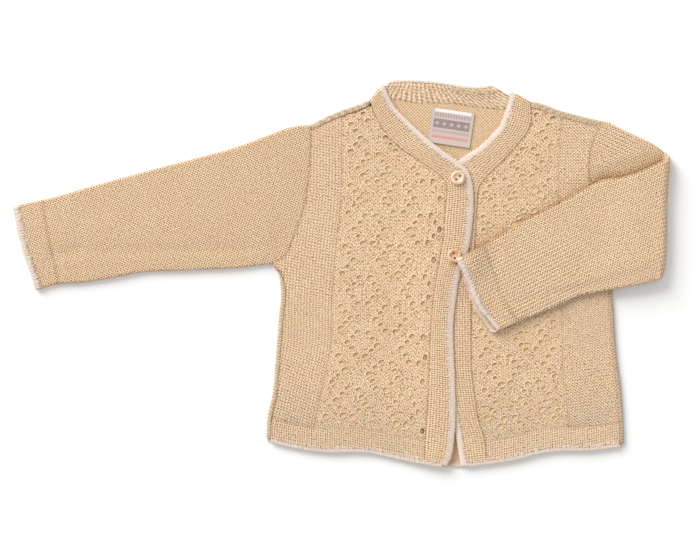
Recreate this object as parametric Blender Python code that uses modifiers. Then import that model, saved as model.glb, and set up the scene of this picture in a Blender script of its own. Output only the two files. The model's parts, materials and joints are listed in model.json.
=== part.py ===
"""A baby's knitted cardigan, laid flat on its back with one sleeve folded across the front.

Metres, +Z up. The neck points to +Y and the wearer's right to -X, so that it is on the left from above.
The origin lies on the floor, under the middle of the back. Every table below holds plan sizes in
millimetres, and every piece is the middle surface of its cloth, thickened by a Solidify.
"""

import math

import bmesh
import bpy
import numpy as np
from mathutils import Matrix, Vector

MM = 0.001
NAME = "baby_cardigan"

# Cloth
WALL = 1.5  # one layer of the fine knit
RIB_WALL = 1.8  # the doubled knit of the bands and the neckband
TRIM_WALL = 1.6  # the overlocked edging
SEAM = 0.5  # clear space between two pieces at a seam
CUFF_GAP_RIGHT, CUFF_GAP_LEFT = 0.55, 1.3  # between a sleeve and its trim
ARMHOLE_GAP = 1.1  # from the armhole to the first ring of a sleeve
EDGE_TRIM = 3.8  # how far the edging stands out of the front, neck and cuff edges
HEM_TRIM = 2.4  # the same at the hem
PANEL_HEM = 3.1  # from the garment's lower outline to where its panels end

# Layers, as heights of the middle of the cloth
BACK_MID = WALL / 2
RIB_BACK_MID = RIB_WALL / 2
FRONT_MID = 3.0  # a front that lies on the back
OVERLAP_RISE = 2.15  # how far the right front climbs over the left one
RISE_FROM, RISE_TO = -44.0, -5.0  # where it climbs, along X
ROLL = 1.875  # from a rolled edge to the centre of its turn
SIDE_ROLL = 3.0  # how far the back comes round to the front at the sides
SHOULDER_ROLL = 4.5  # and at the shoulders

# The back's outline, from hem to shoulder on each side. Columns: x, y.
SIDE_RIGHT = [(-144.8, -133.4), (-143.2, -112.0), (-140.0, -98.4), (-136.8, -65.6), (-134.4, -36.0),
              (-132.8, -11.2), (-135.4, 0.0), (-140.5, 8.6)]
ARMHOLE_RIGHT = [(-140.5, 8.6), (-130.4, 14.4), (-125.0, 24.4), (-120.8, 35.2), (-116.8, 46.4),
                 (-113.2, 61.6), (-111.2, 75.2), (-109.6, 98.0), (-108.8, 119.6)]
SIDE_LEFT = [(142.0, -137.6), (141.4, -119.2), (139.2, -89.6), (136.3, -68.8), (133.6, -31.2),
             (132.8, -14.4), (134.6, -4.6), (138.6, 2.6)]
ARMHOLE_LEFT = [(138.6, 2.6), (130.0, 9.0), (124.4, 22.0), (119.4, 40.0), (115.8, 58.0),
                (114.4, 76.0), (114.6, 94.4), (117.8, 108.0), (124.0, 122.4)]
SHOULDER_RIGHT = [(-108.8, 119.6), (-93.6, 127.2), (-81.6, 132.0), (-69.6, 136.2), (-61.4, 139.6)]
SHOULDER_LEFT = [(124.0, 122.4), (107.2, 126.4), (87.2, 132.0), (75.2, 136.6), (66.6, 138.2)]
BACK_NECK = [(-61.0, 135.6), (-56.0, 136.6), (-48.0, 138.6), (-39.2, 139.0), (-24.8, 137.0),
             (1.6, 136.6), (28.0, 133.2), (43.2, 132.0), (55.0, 132.9), (65.8, 133.6)]
BACK_NECK_GAP = 0.8  # from there to the neckband
HEM = [(-144.8, -133.4), (-128.8, -137.6), (-101.6, -142.4), (-61.6, -143.2), (-43.2, -147.2),
       (-18.4, -152.0), (-1.6, -154.4), (12.0, -154.4), (34.4, -152.0), (58.4, -148.0), (71.2, -144.4),
       (87.2, -141.8), (113.6, -141.4), (142.0, -137.6)]

# The centre front and the neck. Columns: x, y, from the hem up to the shoulder.
BAND_SEAM_RIGHT = [(-17.6, -152.2), (-16.8, -133.6), (-14.4, -95.2), (-13.6, -71.2), (-11.2, -27.2),
                   (-4.0, 19.2), (-2.4, 28.0), (-1.2, 48.0), (0.8, 67.0)]
NECK_SEAM_RIGHT = [(0.8, 67.0), (-0.4, 73.4), (-5.6, 79.6), (-18.4, 88.8), (-38.4, 102.4),
                   (-53.6, 120.8), (-59.4, 133.0), (-61.4, 139.6), (-62.6, 143.6)]
BAND_EDGE_RIGHT = [(-0.4, -153.6), (3.0, -145.6), (5.6, -127.2), (6.4, -102.4), (5.6, -78.4), (4.8, -36.0),
                   (6.4, -22.4), (10.4, 0.8), (16.8, 19.2), (19.0, 34.0), (20.8, 58.0), (20.2, 70.0)]
NECK_EDGE_RIGHT = [(20.2, 70.0), (17.4, 81.0), (11.2, 88.0), (4.0, 93.2), (-5.6, 99.8), (-17.6, 109.6),
                   (-32.0, 123.2), (-43.2, 135.4), (-47.6, 144.0), (-51.2, 153.2), (-53.0, 158.0)]
BAND_SEAM_LEFT = [(31.4, -152.2), (30.8, -140.0), (28.6, -128.0), (25.6, -119.6), (23.2, -105.6),
                  (19.8, -79.2), (19.2, -48.8), (19.2, -28.8), (20.5, 0.0), (22.5, 30.0), (24.4, 64.0)]
NECK_SEAM_LEFT = [(24.4, 64.0), (26.0, 70.4), (30.8, 77.0), (45.8, 92.0), (57.3, 104.8), (63.4, 112.6),
                  (67.4, 122.0), (67.2, 130.4), (66.6, 138.2), (66.2, 142.0)]
BAND_EDGE_LEFT = [(11.4, -153.8), (9.0, -139.0), (6.6, -124.0), (3.0, -105.0), (-0.6, -79.0), (-1.6, -48.8),
                  (-1.6, -28.8), (0.0, 0.0), (2.4, 30.0), (3.6, 67.0)]
NECK_EDGE_LEFT = [(3.6, 67.0), (5.2, 82.0), (10.6, 91.4), (17.6, 96.2), (25.6, 101.2), (35.2, 110.4),
                  (41.6, 117.0), (45.2, 125.0), (48.8, 135.0), (51.4, 146.4), (52.4, 151.0)]
NECK_TOP = [(-51.2, 153.2), (-46.4, 154.4), (-24.8, 155.2), (-4.8, 153.6), (15.2, 150.6), (28.0, 150.2),
            (41.6, 152.6), (46.4, 152.0), (51.4, 146.4)]
# Where the neckband turns under at the shoulders. Columns: x, y at its seam, and x, y at its edge.
SHOULDER_FOLD_RIGHT = [(-61.4, 139.6), (-51.2, 153.2)]
SHOULDER_FOLD_LEFT = [(66.6, 138.2), (51.4, 146.4)]
NECK_TAIL = 1.0  # how far the neckband runs on beneath the fold

# The right sleeve, stretched out. Columns: x, y, from the armhole to the cuff, and up the cuff.
RIGHT_TOP = [(-108.8, 119.6), (-123.2, 118.0), (-144.8, 110.4), (-171.2, 100.8), (-197.6, 93.6),
             (-237.6, 83.2), (-284.0, 70.4), (-314.4, 61.6), (-346.8, 54.4)]
RIGHT_BOTTOM = [(-140.5, 8.6), (-165.6, 5.6), (-210.4, 3.2), (-247.2, 1.2), (-265.6, -2.4),
                (-288.8, -6.4), (-316.0, -9.0), (-328.6, -13.0)]
RIGHT_CUFF = [(-328.6, -13.0), (-332.8, 0.0), (-338.4, 16.0), (-344.2, 39.2), (-346.8, 54.4)]

# The left sleeve, folded back. Columns: x, y.
LEFT_OUT_TOP = [(124.0, 122.4), (127.2, 122.0), (140.0, 116.0), (153.6, 109.6), (167.2, 102.6), (173.6, 97.6)]
LEFT_OUT_BOTTOM = [(138.6, 2.6), (150.0, 0.4), (166.6, -1.6)]
FOLD_OUT = [(166.6, -1.6), (169.4, 8.8), (170.4, 29.6), (170.8, 60.0), (172.2, 80.0), (173.6, 97.6)]
FOLD_BACK = [(166.6, -5.4), (169.4, 8.8), (170.4, 29.6), (170.8, 60.0), (172.0, 78.0), (172.6, 90.6)]
LEFT_BACK_TOP = [(172.6, 90.6), (151.2, 81.2), (137.6, 77.2), (128.8, 76.6), (115.2, 71.2), (94.4, 59.2),
                 (78.4, 51.2), (64.8, 44.8), (50.4, 36.0), (37.6, 28.0), (23.2, 20.0), (7.6, 12.6)]
LEFT_BACK_BOTTOM = [(166.6, -5.4), (151.2, -8.8), (135.2, -12.0), (113.6, -16.0), (100.8, -19.2),
                    (91.2, -24.8), (80.8, -28.8), (60.8, -36.8), (40.8, -45.6)]
LEFT_CUFF = [(40.8, -45.6), (32.0, -35.2), (25.6, -27.2), (20.4, -16.8), (16.8, -8.0), (12.4, 2.4), (7.6, 12.6)]

SLEEVE_FULLNESS = 2.6  # between the middles of a pressed sleeve's two layers
SLEEVE_CROWN = 0.9  # how much more its upper layer bulges along the middle
SLEEVE_EASE = 30.0  # over this length from the armhole the sleeve fills out
FOLD_RADIUS = 3.6  # of the sleeve's own middle, where it turns back
RETURN_MID = 6.15  # height of the folded sleeve's middle on the front
CUFF_RISE = 2.25  # how much higher it lies on the bands
CUFF_RISE_FROM, CUFF_RISE_TO = 42.0, 19.0  # where it climbs, along X
FOLD_SETTLE_FROM, FOLD_SETTLE_TO = 172.0, 112.0  # where it sinks from the fold to the front, along X
CUFF_SLIP = 5.0  # how far its lower layer slides out past the upper one at the cuff's lower corner
BUTTON_LIFT = 2.75  # how much higher the cuff's corner lies, on the button
BUTTON_LIFT_NEAR, BUTTON_LIFT_FAR = 9.0, 32.0  # from the button's middle

# Eyelet lace, on diamonds in a half-drop repeat. Lace edges run down the outer side. Columns: x, y.
LACE_EDGE_RIGHT = [(-84.0, 124.8), (-84.8, 59.2), (-89.6, 11.2), (-92.0, -20.8), (-92.8, -56.8),
                   (-98.4, -84.8), (-106.4, -123.2)]
LACE_EDGE_LEFT = [(92.8, 127.2), (90.4, 104.8), (89.3, 78.4), (89.9, 58.4), (92.0, -27.2), (92.6, -57.6),
                  (93.2, -79.2), (96.0, -101.6), (97.6, -121.6)]
LACE_WIDTH = 84.0
DIAMOND_STEP_ACROSS = 22.0  # from one column of diamonds to the next
DIAMOND_STEP_DOWN = 24.5  # from a diamond to the next one in the neighbouring column
FIRST_DIAMOND_IN, FIRST_DIAMOND_Y = 3.0, 157.8
COURSE_TILT = 0.15  # slope of the courses at the hem
TILT_FROM, TILT_TO = -12.8, -87.2  # where the courses start to slope, and where they have that slope
LEFT_LACE_SHIFT = 4.6  # the left front's repeat starts this much higher
# The larger eyelets of one side of a diamond. Columns: across, up.
DIAMOND = [(4.4, 10.8), (12.0, 0.0), (4.0, -10.8)]
EYELET_WIDTH, EYELET_HEIGHT = 3.8, 4.6
EYELET_MARGIN = 4.4  # from an eyelet's middle to the panel's edge
HEM_BORDER = 21.0  # plain knit above the hem

# Buttons. Columns: name, x, y, angle of the line through its two holes in degrees.
BUTTONS = [("button_top", 8.7, 76.9, 45.0), ("button_lower", 5.9, 14.5, -79.0)]
BUTTON_BASE = FRONT_MID + OVERLAP_RISE + RIB_WALL / 2 + 0.3
BUTTON_HOLE_RADIUS, BUTTON_HOLE_STEP = 0.85, 4.0
# Half of the button's section, down its outer side. Columns: radius, height.
BUTTON_PROFILE = [(0.0, 1.45), (2.6, 1.5), (3.5, 2.1), (4.6, 2.25), (5.4, 1.8), (5.65, 1.2), (5.2, 0.5),
                  (3.6, 0.0), (0.0, 0.0)]

LABEL_WIDTH, LABEL_LENGTH, LABEL_WALL = 34.0, 28.0, 0.8
LABEL_X, LABEL_Y, LABEL_TURN = 3.4, 117.2, -8.6

# Rows of the meshes, as shares of a panel's height. They are closest where its edges bend most.
BACK_ROWS = (0.0, 0.1, 0.22, 0.35, 0.45, 0.5, 0.53, 0.555, 0.575, 0.6, 0.64, 0.71, 0.8, 0.9)
BACK_COLUMNS = (0.055, 0.105, 0.15)  # shares of its width, from each side to where the neck starts
FRONT_ROWS = (0.0, 0.035, 0.07, 0.11, 0.17, 0.25, 0.34, 0.42, 0.48, 0.515, 0.54, 0.56, 0.585, 0.62)

# Colours and roughness. Columns: linear red, green, blue, roughness.
KNIT = (0.71, 0.50, 0.31, 0.85)
TRIM = (0.84, 0.70, 0.62, 0.85)
PEARL = (0.80, 0.62, 0.50, 0.3)
SATIN = (0.86, 0.82, 0.80, 0.5)


def ease(value, start, end):
    """0 before start and 1 after end, with a smooth change between them."""
    t = np.clip((np.asarray(value, float) - start) / (end - start), 0.0, 1.0)
    return t * t * (3 - 2 * t)


class Curve:
    """A line in plan, read by its share of length from 0 to 1."""

    def __init__(self, points, run=None):
        self.points = np.array(points, float)
        steps = np.linalg.norm(np.diff(self.points, axis=0), axis=1)
        self.run = np.concatenate([[0.0], np.cumsum(steps)]) if run is None else run
        self.length = self.run[-1]

    def at(self, share):
        along = np.clip(share, 0.0, 1.0) * self.length
        return np.stack([np.interp(along, self.run, self.points[:, k]) for k in (0, 1)], -1)

    def turned_round(self):
        """The line run backwards."""
        return Curve(self.points[::-1], self.run[-1] - self.run[::-1])

    def beside(self, left):
        """The line moved to the left, by one distance or one for each point. It keeps this line's shares."""
        along = np.gradient(self.points, axis=0)
        along /= np.linalg.norm(along, axis=1)[:, None]
        across = np.stack([-along[:, 1], along[:, 0]], -1)
        return Curve(self.points + np.reshape(left, (-1, 1)) * across, self.run)

    def part(self, start, end):
        """The stretch between two shares of the length."""
        inside = (self.run > start * self.length) & (self.run < end * self.length)
        return Curve(np.vstack([self.at(start), self.points[inside], self.at(end)]))

    def where(self, value):
        """The share at which a value of the points first climbs past zero."""
        shares = np.linspace(0.0, 1.0, 1201)
        values = value(self.at(shares))
        after = int(np.argmax(values > 0))
        if after == 0:
            return 0.0
        before = after - 1
        return shares[before] - values[before] / (values[after] - values[before]) * shares[1]

    def where_above(self, base):
        """The share at which this line, which runs up, crosses one that runs along X."""
        return self.where(lambda p: p[:, 1] - np.interp(p[:, 0], base.points[:, 0], base.points[:, 1]))

    def share_at_x(self, x):
        """The share where a line that runs along X passes x."""
        return np.interp(x, self.points[:, 0], self.run) / self.length


def smooth(rows, spans=8):
    """A smooth curve through the rows of a table."""
    rows = np.array(rows, float)
    run = np.concatenate([[0.0], np.cumsum(np.linalg.norm(np.diff(rows, axis=0), axis=1))])
    slope = np.gradient(rows, run, axis=0)
    points = []
    for i in range(len(rows) - 1):
        step = run[i + 1] - run[i]
        for t in np.arange(spans) / spans:
            points.append(
                rows[i] * (1 + 2 * t) * (1 - t) ** 2
                + rows[i + 1] * t * t * (3 - 2 * t)
                + step * (slope[i] * t * (1 - t) ** 2 - slope[i + 1] * t * t * (1 - t))
            )
    return Curve(points + [rows[-1]])


def joined(first, second):
    """Two lines made one, where the second starts at the first one's end."""
    return Curve(np.vstack([first.points, second.points[1:]]))


def patch(left, right, bottom, top, across, up):
    """Plan points of a Coons patch inside four curves, at shares across it and up it."""
    s, t = np.meshgrid(across, up, indexing="ij")
    s, t = s[..., None], t[..., None]
    sides = (1 - s) * left.at(up)[None] + s * right.at(up)[None]
    ends = (1 - t) * bottom.at(across)[:, None] + t * top.at(across)[:, None]
    corners = (
        (1 - s) * (1 - t) * bottom.at(0.0)
        + s * (1 - t) * bottom.at(1.0)
        + (1 - s) * t * top.at(0.0)
        + s * t * top.at(1.0)
    )
    return sides + ends - corners


def raised(plan, height):
    """Plan points given their heights."""
    return np.concatenate([plan, np.broadcast_to(height, plan.shape[:-1])[..., None]], -1)


def right_mid(x):
    """Height of the right front's middle surface."""
    return FRONT_MID + OVERLAP_RISE * ease(x, RISE_FROM, RISE_TO)


def left_mid(x):
    """Height of the left front's middle surface."""
    return FRONT_MID + 0.0 * np.asarray(x)


def material(name, finish):
    """A plain material from its colour and roughness."""
    made = bpy.data.materials.new(name)
    made.use_nodes = True
    shader = made.node_tree.nodes["Principled BSDF"]
    shader.inputs["Base Color"].default_value = (*finish[:3], 1.0)
    shader.inputs["Roughness"].default_value = finish[3]
    shader.inputs["Metallic"].default_value = 0.0
    made.diffuse_color = (*finish[:3], 1.0)
    return made


def add_object(name, mesh, finish, group):
    """One piece of the cardigan, with its own material."""
    obj = bpy.data.objects.new(name, mesh)
    mesh.materials.append(material(name, finish))
    group.objects.link(obj)
    return obj


def cloth(name, grid, wall, finish, group, round_tube=False):
    """Cloth on a grid of middle points, rows of them along the second index. A tube's first index wraps."""
    columns, rows = grid.shape[:2]
    mesh = bpy.data.meshes.new(name)
    work = bmesh.new()
    points = [[work.verts.new(Vector(point) * MM) for point in column] for column in grid]
    for i in range(columns if round_tube else columns - 1):
        after = points[(i + 1) % columns]
        for j in range(rows - 1):
            work.faces.new((points[i][j], after[j], after[j + 1], points[i][j + 1]))
    work.to_mesh(mesh)
    work.free()
    mesh.shade_smooth()
    obj = add_object(name, mesh, finish, group)
    shell = obj.modifiers.new("cloth_wall", "SOLIDIFY")
    shell.thickness = wall * MM
    shell.offset = 0.0
    return obj


def strip(name, inner, outer, height, wall, finish, group, columns=3, fold=None):
    """A band of cloth between two rows of points. A fold turns its end under, on towards a given direction."""
    across = np.linspace(0.0, 1.0, columns)[:, None, None]
    plan = inner[None] * (1 - across) + outer[None] * across
    grid = raised(plan, height(plan[..., 0]))
    if fold is not None:
        grid = np.concatenate([grid, folded_end(grid[:, -1], fold, wall)], 1)
    return cloth(name, grid, wall, finish, group)


def folded_end(last, fold, wall):
    """The rows that carry a strip's last row round a fold, down to the floor, and on for the length of the tail."""
    radius = (last[:, 2:] - wall / 2) / 2
    rows = []
    for angle in (60.0, 120.0, 180.0):
        turn = math.radians(angle)
        drop = np.concatenate([np.zeros((len(last), 2)), radius * (1 - math.cos(turn))], 1)
        rows.append(last + np.append(fold.ahead, 0.0) * radius * math.sin(turn) - drop)
    rows.append(rows[-1] + np.append(fold.onward, 0.0) * NECK_TAIL)
    return np.stack(rows, 1)


class Fold:
    """The line at a shoulder about which the neckband turns under, from its seam to its edge."""

    def __init__(self, seam_end, neck_end, arriving):
        along = np.subtract(neck_end, seam_end) / np.linalg.norm(np.subtract(neck_end, seam_end))
        self.ahead = np.array([-along[1], along[0]])
        if self.ahead @ arriving < 0:
            self.ahead = -self.ahead
        self.onward = 2 * (arriving @ along) * along - arriving
        self.start = np.array(seam_end) - self.ahead * ((FRONT_MID - RIB_BACK_MID) / 2 + RIB_WALL / 2)

    def passed(self, points):
        """How far points have gone past the start of the fold."""
        return (points - self.start) @ self.ahead

    def cleared(self, points):
        """How far points lie inside the end of the tail, with a seam between."""
        return -(points - self.start - self.onward * (NECK_TAIL + 2 * SEAM)) @ self.ahead


def shoulder_fold(side):
    """The fold at one shoulder, met in the direction in which the neck seam arrives."""
    rows, neck = (
        (SHOULDER_FOLD_RIGHT, NECK_SEAM_RIGHT) if side == "right" else (SHOULDER_FOLD_LEFT, NECK_SEAM_LEFT)
    )
    arriving = np.subtract(neck[-2], neck[-3])
    return Fold(*rows, arriving / np.linalg.norm(arriving))


def roll_rows(roll):
    """The back's edge strip, from the panel out to its lip.

    Columns: distance from the outline if flat, the same if rolled, and height above the panel if rolled.
    """
    radius = (FRONT_MID - BACK_MID) / 2
    side = math.sin(math.radians(60)) * radius
    return [
        (4.4 + roll / 2, 4.4 + roll / 2, 0.0),
        (3.4, ROLL, 0.0),
        (2.6, ROLL - side, 0.5 * radius),
        (1.8, ROLL - side, 1.5 * radius),
        (1.0, ROLL, 2.0 * radius),
        (SEAM / 2, roll - SEAM / 2, 2.0 * radius),
    ]


def outline():
    """The garment's curves that more than one piece uses."""
    return {
        "right": joined(smooth(SIDE_RIGHT), smooth(ARMHOLE_RIGHT)),
        "left": joined(smooth(SIDE_LEFT), smooth(ARMHOLE_LEFT)),
        "hem": smooth(HEM),
        "shoulder_right": smooth(SHOULDER_RIGHT),
        "shoulder_left": smooth(SHOULDER_LEFT),
    }


def underarm_share(side, armhole):
    """Where the underarm lies on the outline from the hem to the shoulder."""
    side, armhole = smooth(side), smooth(armhole)
    return side.length / (side.length + armhole.length)


def side_roll(share, underarm, later=0.0):
    """1 along the side seam, where the back rolls to the front, and 0 along the armhole."""
    return 1.0 - ease(share, underarm - 0.075 + later, underarm - 0.025 + later)


def add_back(lines, group):
    """The back: flat on the floor, with its side and shoulder edges rolled over to the front."""
    hem = lines["hem"].beside(PANEL_HEM + SEAM)
    neck = smooth(BACK_NECK)
    shoulder_right, shoulder_left = lines["shoulder_right"], lines["shoulder_left"].turned_round()
    top = Curve(np.vstack([shoulder_right.points, neck.points, shoulder_left.points]))
    neck_start = shoulder_right.length / top.length
    neck_end = 1.0 - shoulder_left.length / top.length
    dip_right = np.linalg.norm(neck.points[0] - shoulder_right.points[-1]) / top.length
    dip_left = np.linalg.norm(neck.points[-1] - shoulder_left.points[0]) / top.length
    rows_side, rows_top = roll_rows(SIDE_ROLL), roll_rows(SHOULDER_ROLL)
    width, height = 280.0, lines["right"].length
    near = np.array([row[0] for row in rows_side]) / width
    above = np.array([row[0] for row in rows_top]) / height
    across = np.concatenate(
        [
            near[::-1],
            BACK_COLUMNS,
            (neck_start - 0.02,),
            np.linspace(neck_start + dip_right, neck_end - dip_left, 8),
            (neck_end + 0.025,),
            1 - np.array(BACK_COLUMNS[::-1]),
            1 - near,
        ]
    )
    up = np.concatenate([BACK_ROWS, 1 - above])
    right = lines["right"].part(lines["right"].where_above(hem), 1.0)
    left = lines["left"].part(lines["left"].where_above(hem), 1.0)
    hem = hem.part(hem.share_at_x(right.at(0.0)[0]), hem.share_at_x(left.at(0.0)[0]))
    plan = patch(right, left, hem, top, across, up)
    grid = raised(plan, BACK_MID)
    for sign, rows_across, side, armhole in (
        (1, range(len(rows_side) - 1, -1, -1), SIDE_RIGHT, ARMHOLE_RIGHT),
        (-1, range(len(rows_side)), SIDE_LEFT, ARMHOLE_LEFT),
    ):
        rolled = side_roll(up, underarm_share(side, armhole))
        for k, row in enumerate(rows_across):
            column = k if sign > 0 else len(across) - len(rows_side) + k
            flat, curled, lift = rows_side[row]
            grid[column, :, 0] += sign * (curled - flat) * rolled
            grid[column, :, 2] += lift * rolled**2
    over = ((across < neck_start) | (across > neck_end)).astype(float)
    down = plan[:, len(BACK_ROWS)] - plan[:, -1]
    down /= np.linalg.norm(down, axis=1)[:, None]
    for k, (flat, curled, lift) in enumerate(rows_top):
        row = len(BACK_ROWS) + k
        grid[:, row, :2] += down * ((curled - flat) * over)[:, None]
        grid[:, row, 2] += lift * over
    return cloth("back", grid, WALL, KNIT, group)


def front_curves(lines, side):
    """The four curves round a front: outer side, centre, hem and shoulder."""
    right = side == "right"
    turn = -1.0 if right else 1.0
    outer = lines[side]
    shares = outer.run / outer.length
    underarm = underarm_share(SIDE_RIGHT, ARMHOLE_RIGHT) if right else underarm_share(SIDE_LEFT, ARMHOLE_LEFT)
    outer = outer.beside(turn * (SEAM / 2 + (SIDE_ROLL + SEAM) * side_roll(shares, underarm, 0.025)))
    band, neck = (BAND_SEAM_RIGHT, NECK_SEAM_RIGHT) if right else (BAND_SEAM_LEFT, NECK_SEAM_LEFT)
    centre = joined(smooth(band), smooth(neck)).beside(-turn * SEAM)
    hem = lines["hem"].beside(PANEL_HEM)
    shoulder = lines["shoulder_" + side].beside(turn * (SHOULDER_ROLL + 3 * SEAM))
    outer = outer.part(outer.where_above(hem), 1.0 - (SHOULDER_ROLL + 2 * SEAM) / outer.length)
    centre = centre.part(centre.where_above(hem), 1.0 - shoulder_drop(side, centre) / centre.length)
    ends = sorted((hem.share_at_x(outer.at(0.0)[0]), hem.share_at_x(centre.at(0.0)[0])))
    hem = hem.part(*ends)
    return outer, centre, hem if right else hem.turned_round(), shoulder


def shoulder_drop(side, centre):
    """How far before its end a front's neck line stops, so that the back's rolled shoulder fits above it."""
    end = np.array(SHOULDER_FOLD_RIGHT[0] if side == "right" else SHOULDER_FOLD_LEFT[0])
    return centre.length * (1.0 - centre.where(lambda p: p[:, 1] - end[1])) + SHOULDER_ROLL + SEAM


def fitted(curve, start, end):
    """The curve turned and stretched a little, so that it runs between two points."""
    shares = (curve.run / curve.length)[:, None]
    moved = curve.points + (1 - shares) * (start - curve.points[0]) + shares * (end - curve.points[-1])
    return Curve(moved)


def add_front(lines, side, group):
    """One front: eyelet lace beside the band, plain knit beside the side seam."""
    outer, centre, hem, shoulder = front_curves(lines, side)
    hem = fitted(hem, outer.at(0.0), centre.at(0.0))
    shoulder = fitted(shoulder, outer.at(1.0), centre.at(1.0))
    neck = centre.where(lambda p: p[:, 1] - BAND_SEAM_RIGHT[-1][1])
    up = np.concatenate([FRONT_ROWS, np.linspace(neck, 1.0, 14)])
    plan = patch(outer, centre, hem, shoulder, np.linspace(0.0, 1.0, 10), up)
    height = right_mid if side == "right" else left_mid
    obj = cloth("front_" + side, raised(plan, height(plan[..., 0])), WALL, KNIT, group)
    rim = np.vstack([plan[:, 0], plan[-1], plan[::-1, -1], plan[0, ::-1]])
    return obj, rim


def lace_place(side, inward, course):
    """Plan position of a point of the lace, from its distance to the lace's outer edge and its course's height."""
    edge = smooth(LACE_EDGE_RIGHT if side == "right" else LACE_EDGE_LEFT).points[::-1]
    tilt = COURSE_TILT * ease(course, TILT_FROM, TILT_TO)
    y = course + tilt * (LACE_WIDTH - inward) + (0.0 if side == "right" else LEFT_LACE_SHIFT)
    x = np.interp(y, edge[:, 1], edge[:, 0])
    return x + (inward if side == "right" else -inward), y


def inside_by(point, rim):
    """Distance from a point to a closed outline, negative outside it."""
    after = np.roll(rim, -1, axis=0)
    span = after - rim
    size = np.maximum((span * span).sum(1), 1e-9)
    share = np.clip(((point - rim) * span).sum(1) / size, 0, 1)
    near = np.linalg.norm(rim + share[:, None] * span - point, axis=1).min()
    crosses = (rim[:, 1] > point[1]) != (after[:, 1] > point[1])
    with np.errstate(divide="ignore", invalid="ignore"):
        at = rim[:, 0] + (point[1] - rim[:, 1]) / span[:, 1] * span[:, 0]
    return near if (crosses & (at > point[0])).sum() % 2 else -near


def eyelets(side, rim, hem):
    """Middles of the eyelets that lie well inside a front, above its plain hem border."""
    found = []
    for column in range(5):
        for row in range(7):
            course = FIRST_DIAMOND_Y - DIAMOND_STEP_DOWN * (2 * row + column % 2)
            for across, up in DIAMOND + [(-a, u) for a, u in DIAMOND]:
                inward = FIRST_DIAMOND_IN + DIAMOND_STEP_ACROSS * column + across
                if inward < 1.5:
                    continue
                x, y = lace_place(side, inward, course + up)
                border = hem.at(hem.share_at_x(x))[1] + HEM_BORDER
                if y > border and inside_by(np.array((x, y)), rim) > EYELET_MARGIN:
                    found.append((x, y))
    return found


def cut_eyelets(obj, places, cutters):
    """Five-sided prisms, pointed upwards, that stand through the cloth, as one cutter."""
    work = bmesh.new()
    for x, y in places:
        stretch = Matrix.Diagonal((EYELET_WIDTH / 2 * MM, EYELET_HEIGHT / 2 * MM, 10.0 * MM, 1.0))
        place = Matrix.Translation((x * MM, y * MM, 4.0 * MM)) @ stretch @ Matrix.Rotation(math.pi / 2, 4, "Z")
        bmesh.ops.create_cone(
            work, cap_ends=True, segments=5, radius1=1.0, radius2=1.0, depth=1.0, matrix=place
        )
    mesh = bpy.data.meshes.new(obj.name + "_eyelets")
    work.to_mesh(mesh)
    work.free()
    cutter = bpy.data.objects.new(mesh.name, mesh)
    cutter.hide_render = True
    cutter.display_type = "WIRE"
    cutters.objects.link(cutter)
    cut = obj.modifiers.new("eyelets", "BOOLEAN")
    cut.operation = "DIFFERENCE"
    cut.object = cutter
    cut.solver = "EXACT"


def ring_shares(flat=9, turn=3):
    """Steps round a pressed sleeve, as (place across from -1 to 1, side turn in degrees).

    The lower layer has side turn -90, the upper layer 90, and the folded edges lie between them. The steps
    are closer together towards the underarm, where the armhole bends most.
    """
    places = 2.0 * np.linspace(0.0, 1.0, flat) ** 1.4 - 1.0
    steps = [(s, -90.0) for s in places]
    steps += [(1, a) for a in np.linspace(-90, 90, turn + 2)[1:-1]]
    steps += [(s, 90.0) for s in places[::-1]]
    steps += [(-1, a) for a in np.linspace(90, -90, turn + 2)[1:-1]]
    return steps


def sleeve_section(bottom, top, middle_height, upward, fullness, crown, flat_line):
    """One ring of a pressed sleeve between two plan points."""
    width = np.linalg.norm(top - bottom)
    inset = (fullness + WALL) / 2 / width
    ring = []
    for across, turn in ring_shares():
        angle = math.radians(turn)
        bulge = math.cos(angle) * fullness / 2 / width
        share = 0.5 + across * (0.5 - inset + bulge)
        layer = math.sin(angle)
        swell = crown * max(layer * upward[2], 0.0) * math.sin(math.pi * min(max(share, 0.0), 1.0))
        plan = flat_line(share)
        offset = np.array(upward) * layer * fullness / 2
        ring.append(np.array([plan[0], plan[1], middle_height + swell]) + offset)
    return ring


def add_sleeve_right(group):
    """The right sleeve: a tube pressed flat, from the armhole to the cuff, and the trim round its end."""
    length = smooth(RIGHT_TOP).length
    curves = (smooth(RIGHT_BOTTOM), smooth(RIGHT_TOP), smooth(ARMHOLE_RIGHT), smooth(RIGHT_CUFF))
    trim = 1.0 - EDGE_TRIM / length
    gap = CUFF_GAP_RIGHT / length
    for name, shares, wall, finish in (
        ("sleeve_right", np.linspace(ARMHOLE_GAP / length, trim - gap, 13), WALL, KNIT),
        ("edging_cuff_right", np.linspace(trim, 1.0, 2), TRIM_WALL, TRIM),
    ):
        rings = []
        for u in shares:
            away = u * length
            fullness = FRONT_MID - BACK_MID + (SLEEVE_FULLNESS - FRONT_MID + BACK_MID) * ease(away, 0, SLEEVE_EASE)
            crown = SLEEVE_CROWN * ease(away, 0, SLEEVE_EASE)
            line = across_line(curves, u)
            middle = wall / 2 + fullness / 2
            rings.append(sleeve_section(line(0.0), line(1.0), middle, (0, 0, 1), fullness, crown, line))
        grid = np.array(rings).transpose(1, 0, 2)
        cloth(name, grid, wall, finish, group, round_tube=True)


def across_line(curves, along):
    """The line across a sleeve at one share of its length, as a function of the share across it."""
    bottom, top, start, end = curves

    def at(share):
        return patch(start, end, bottom, top, np.array([along]), np.array([share]))[0, 0]

    return at


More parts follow.
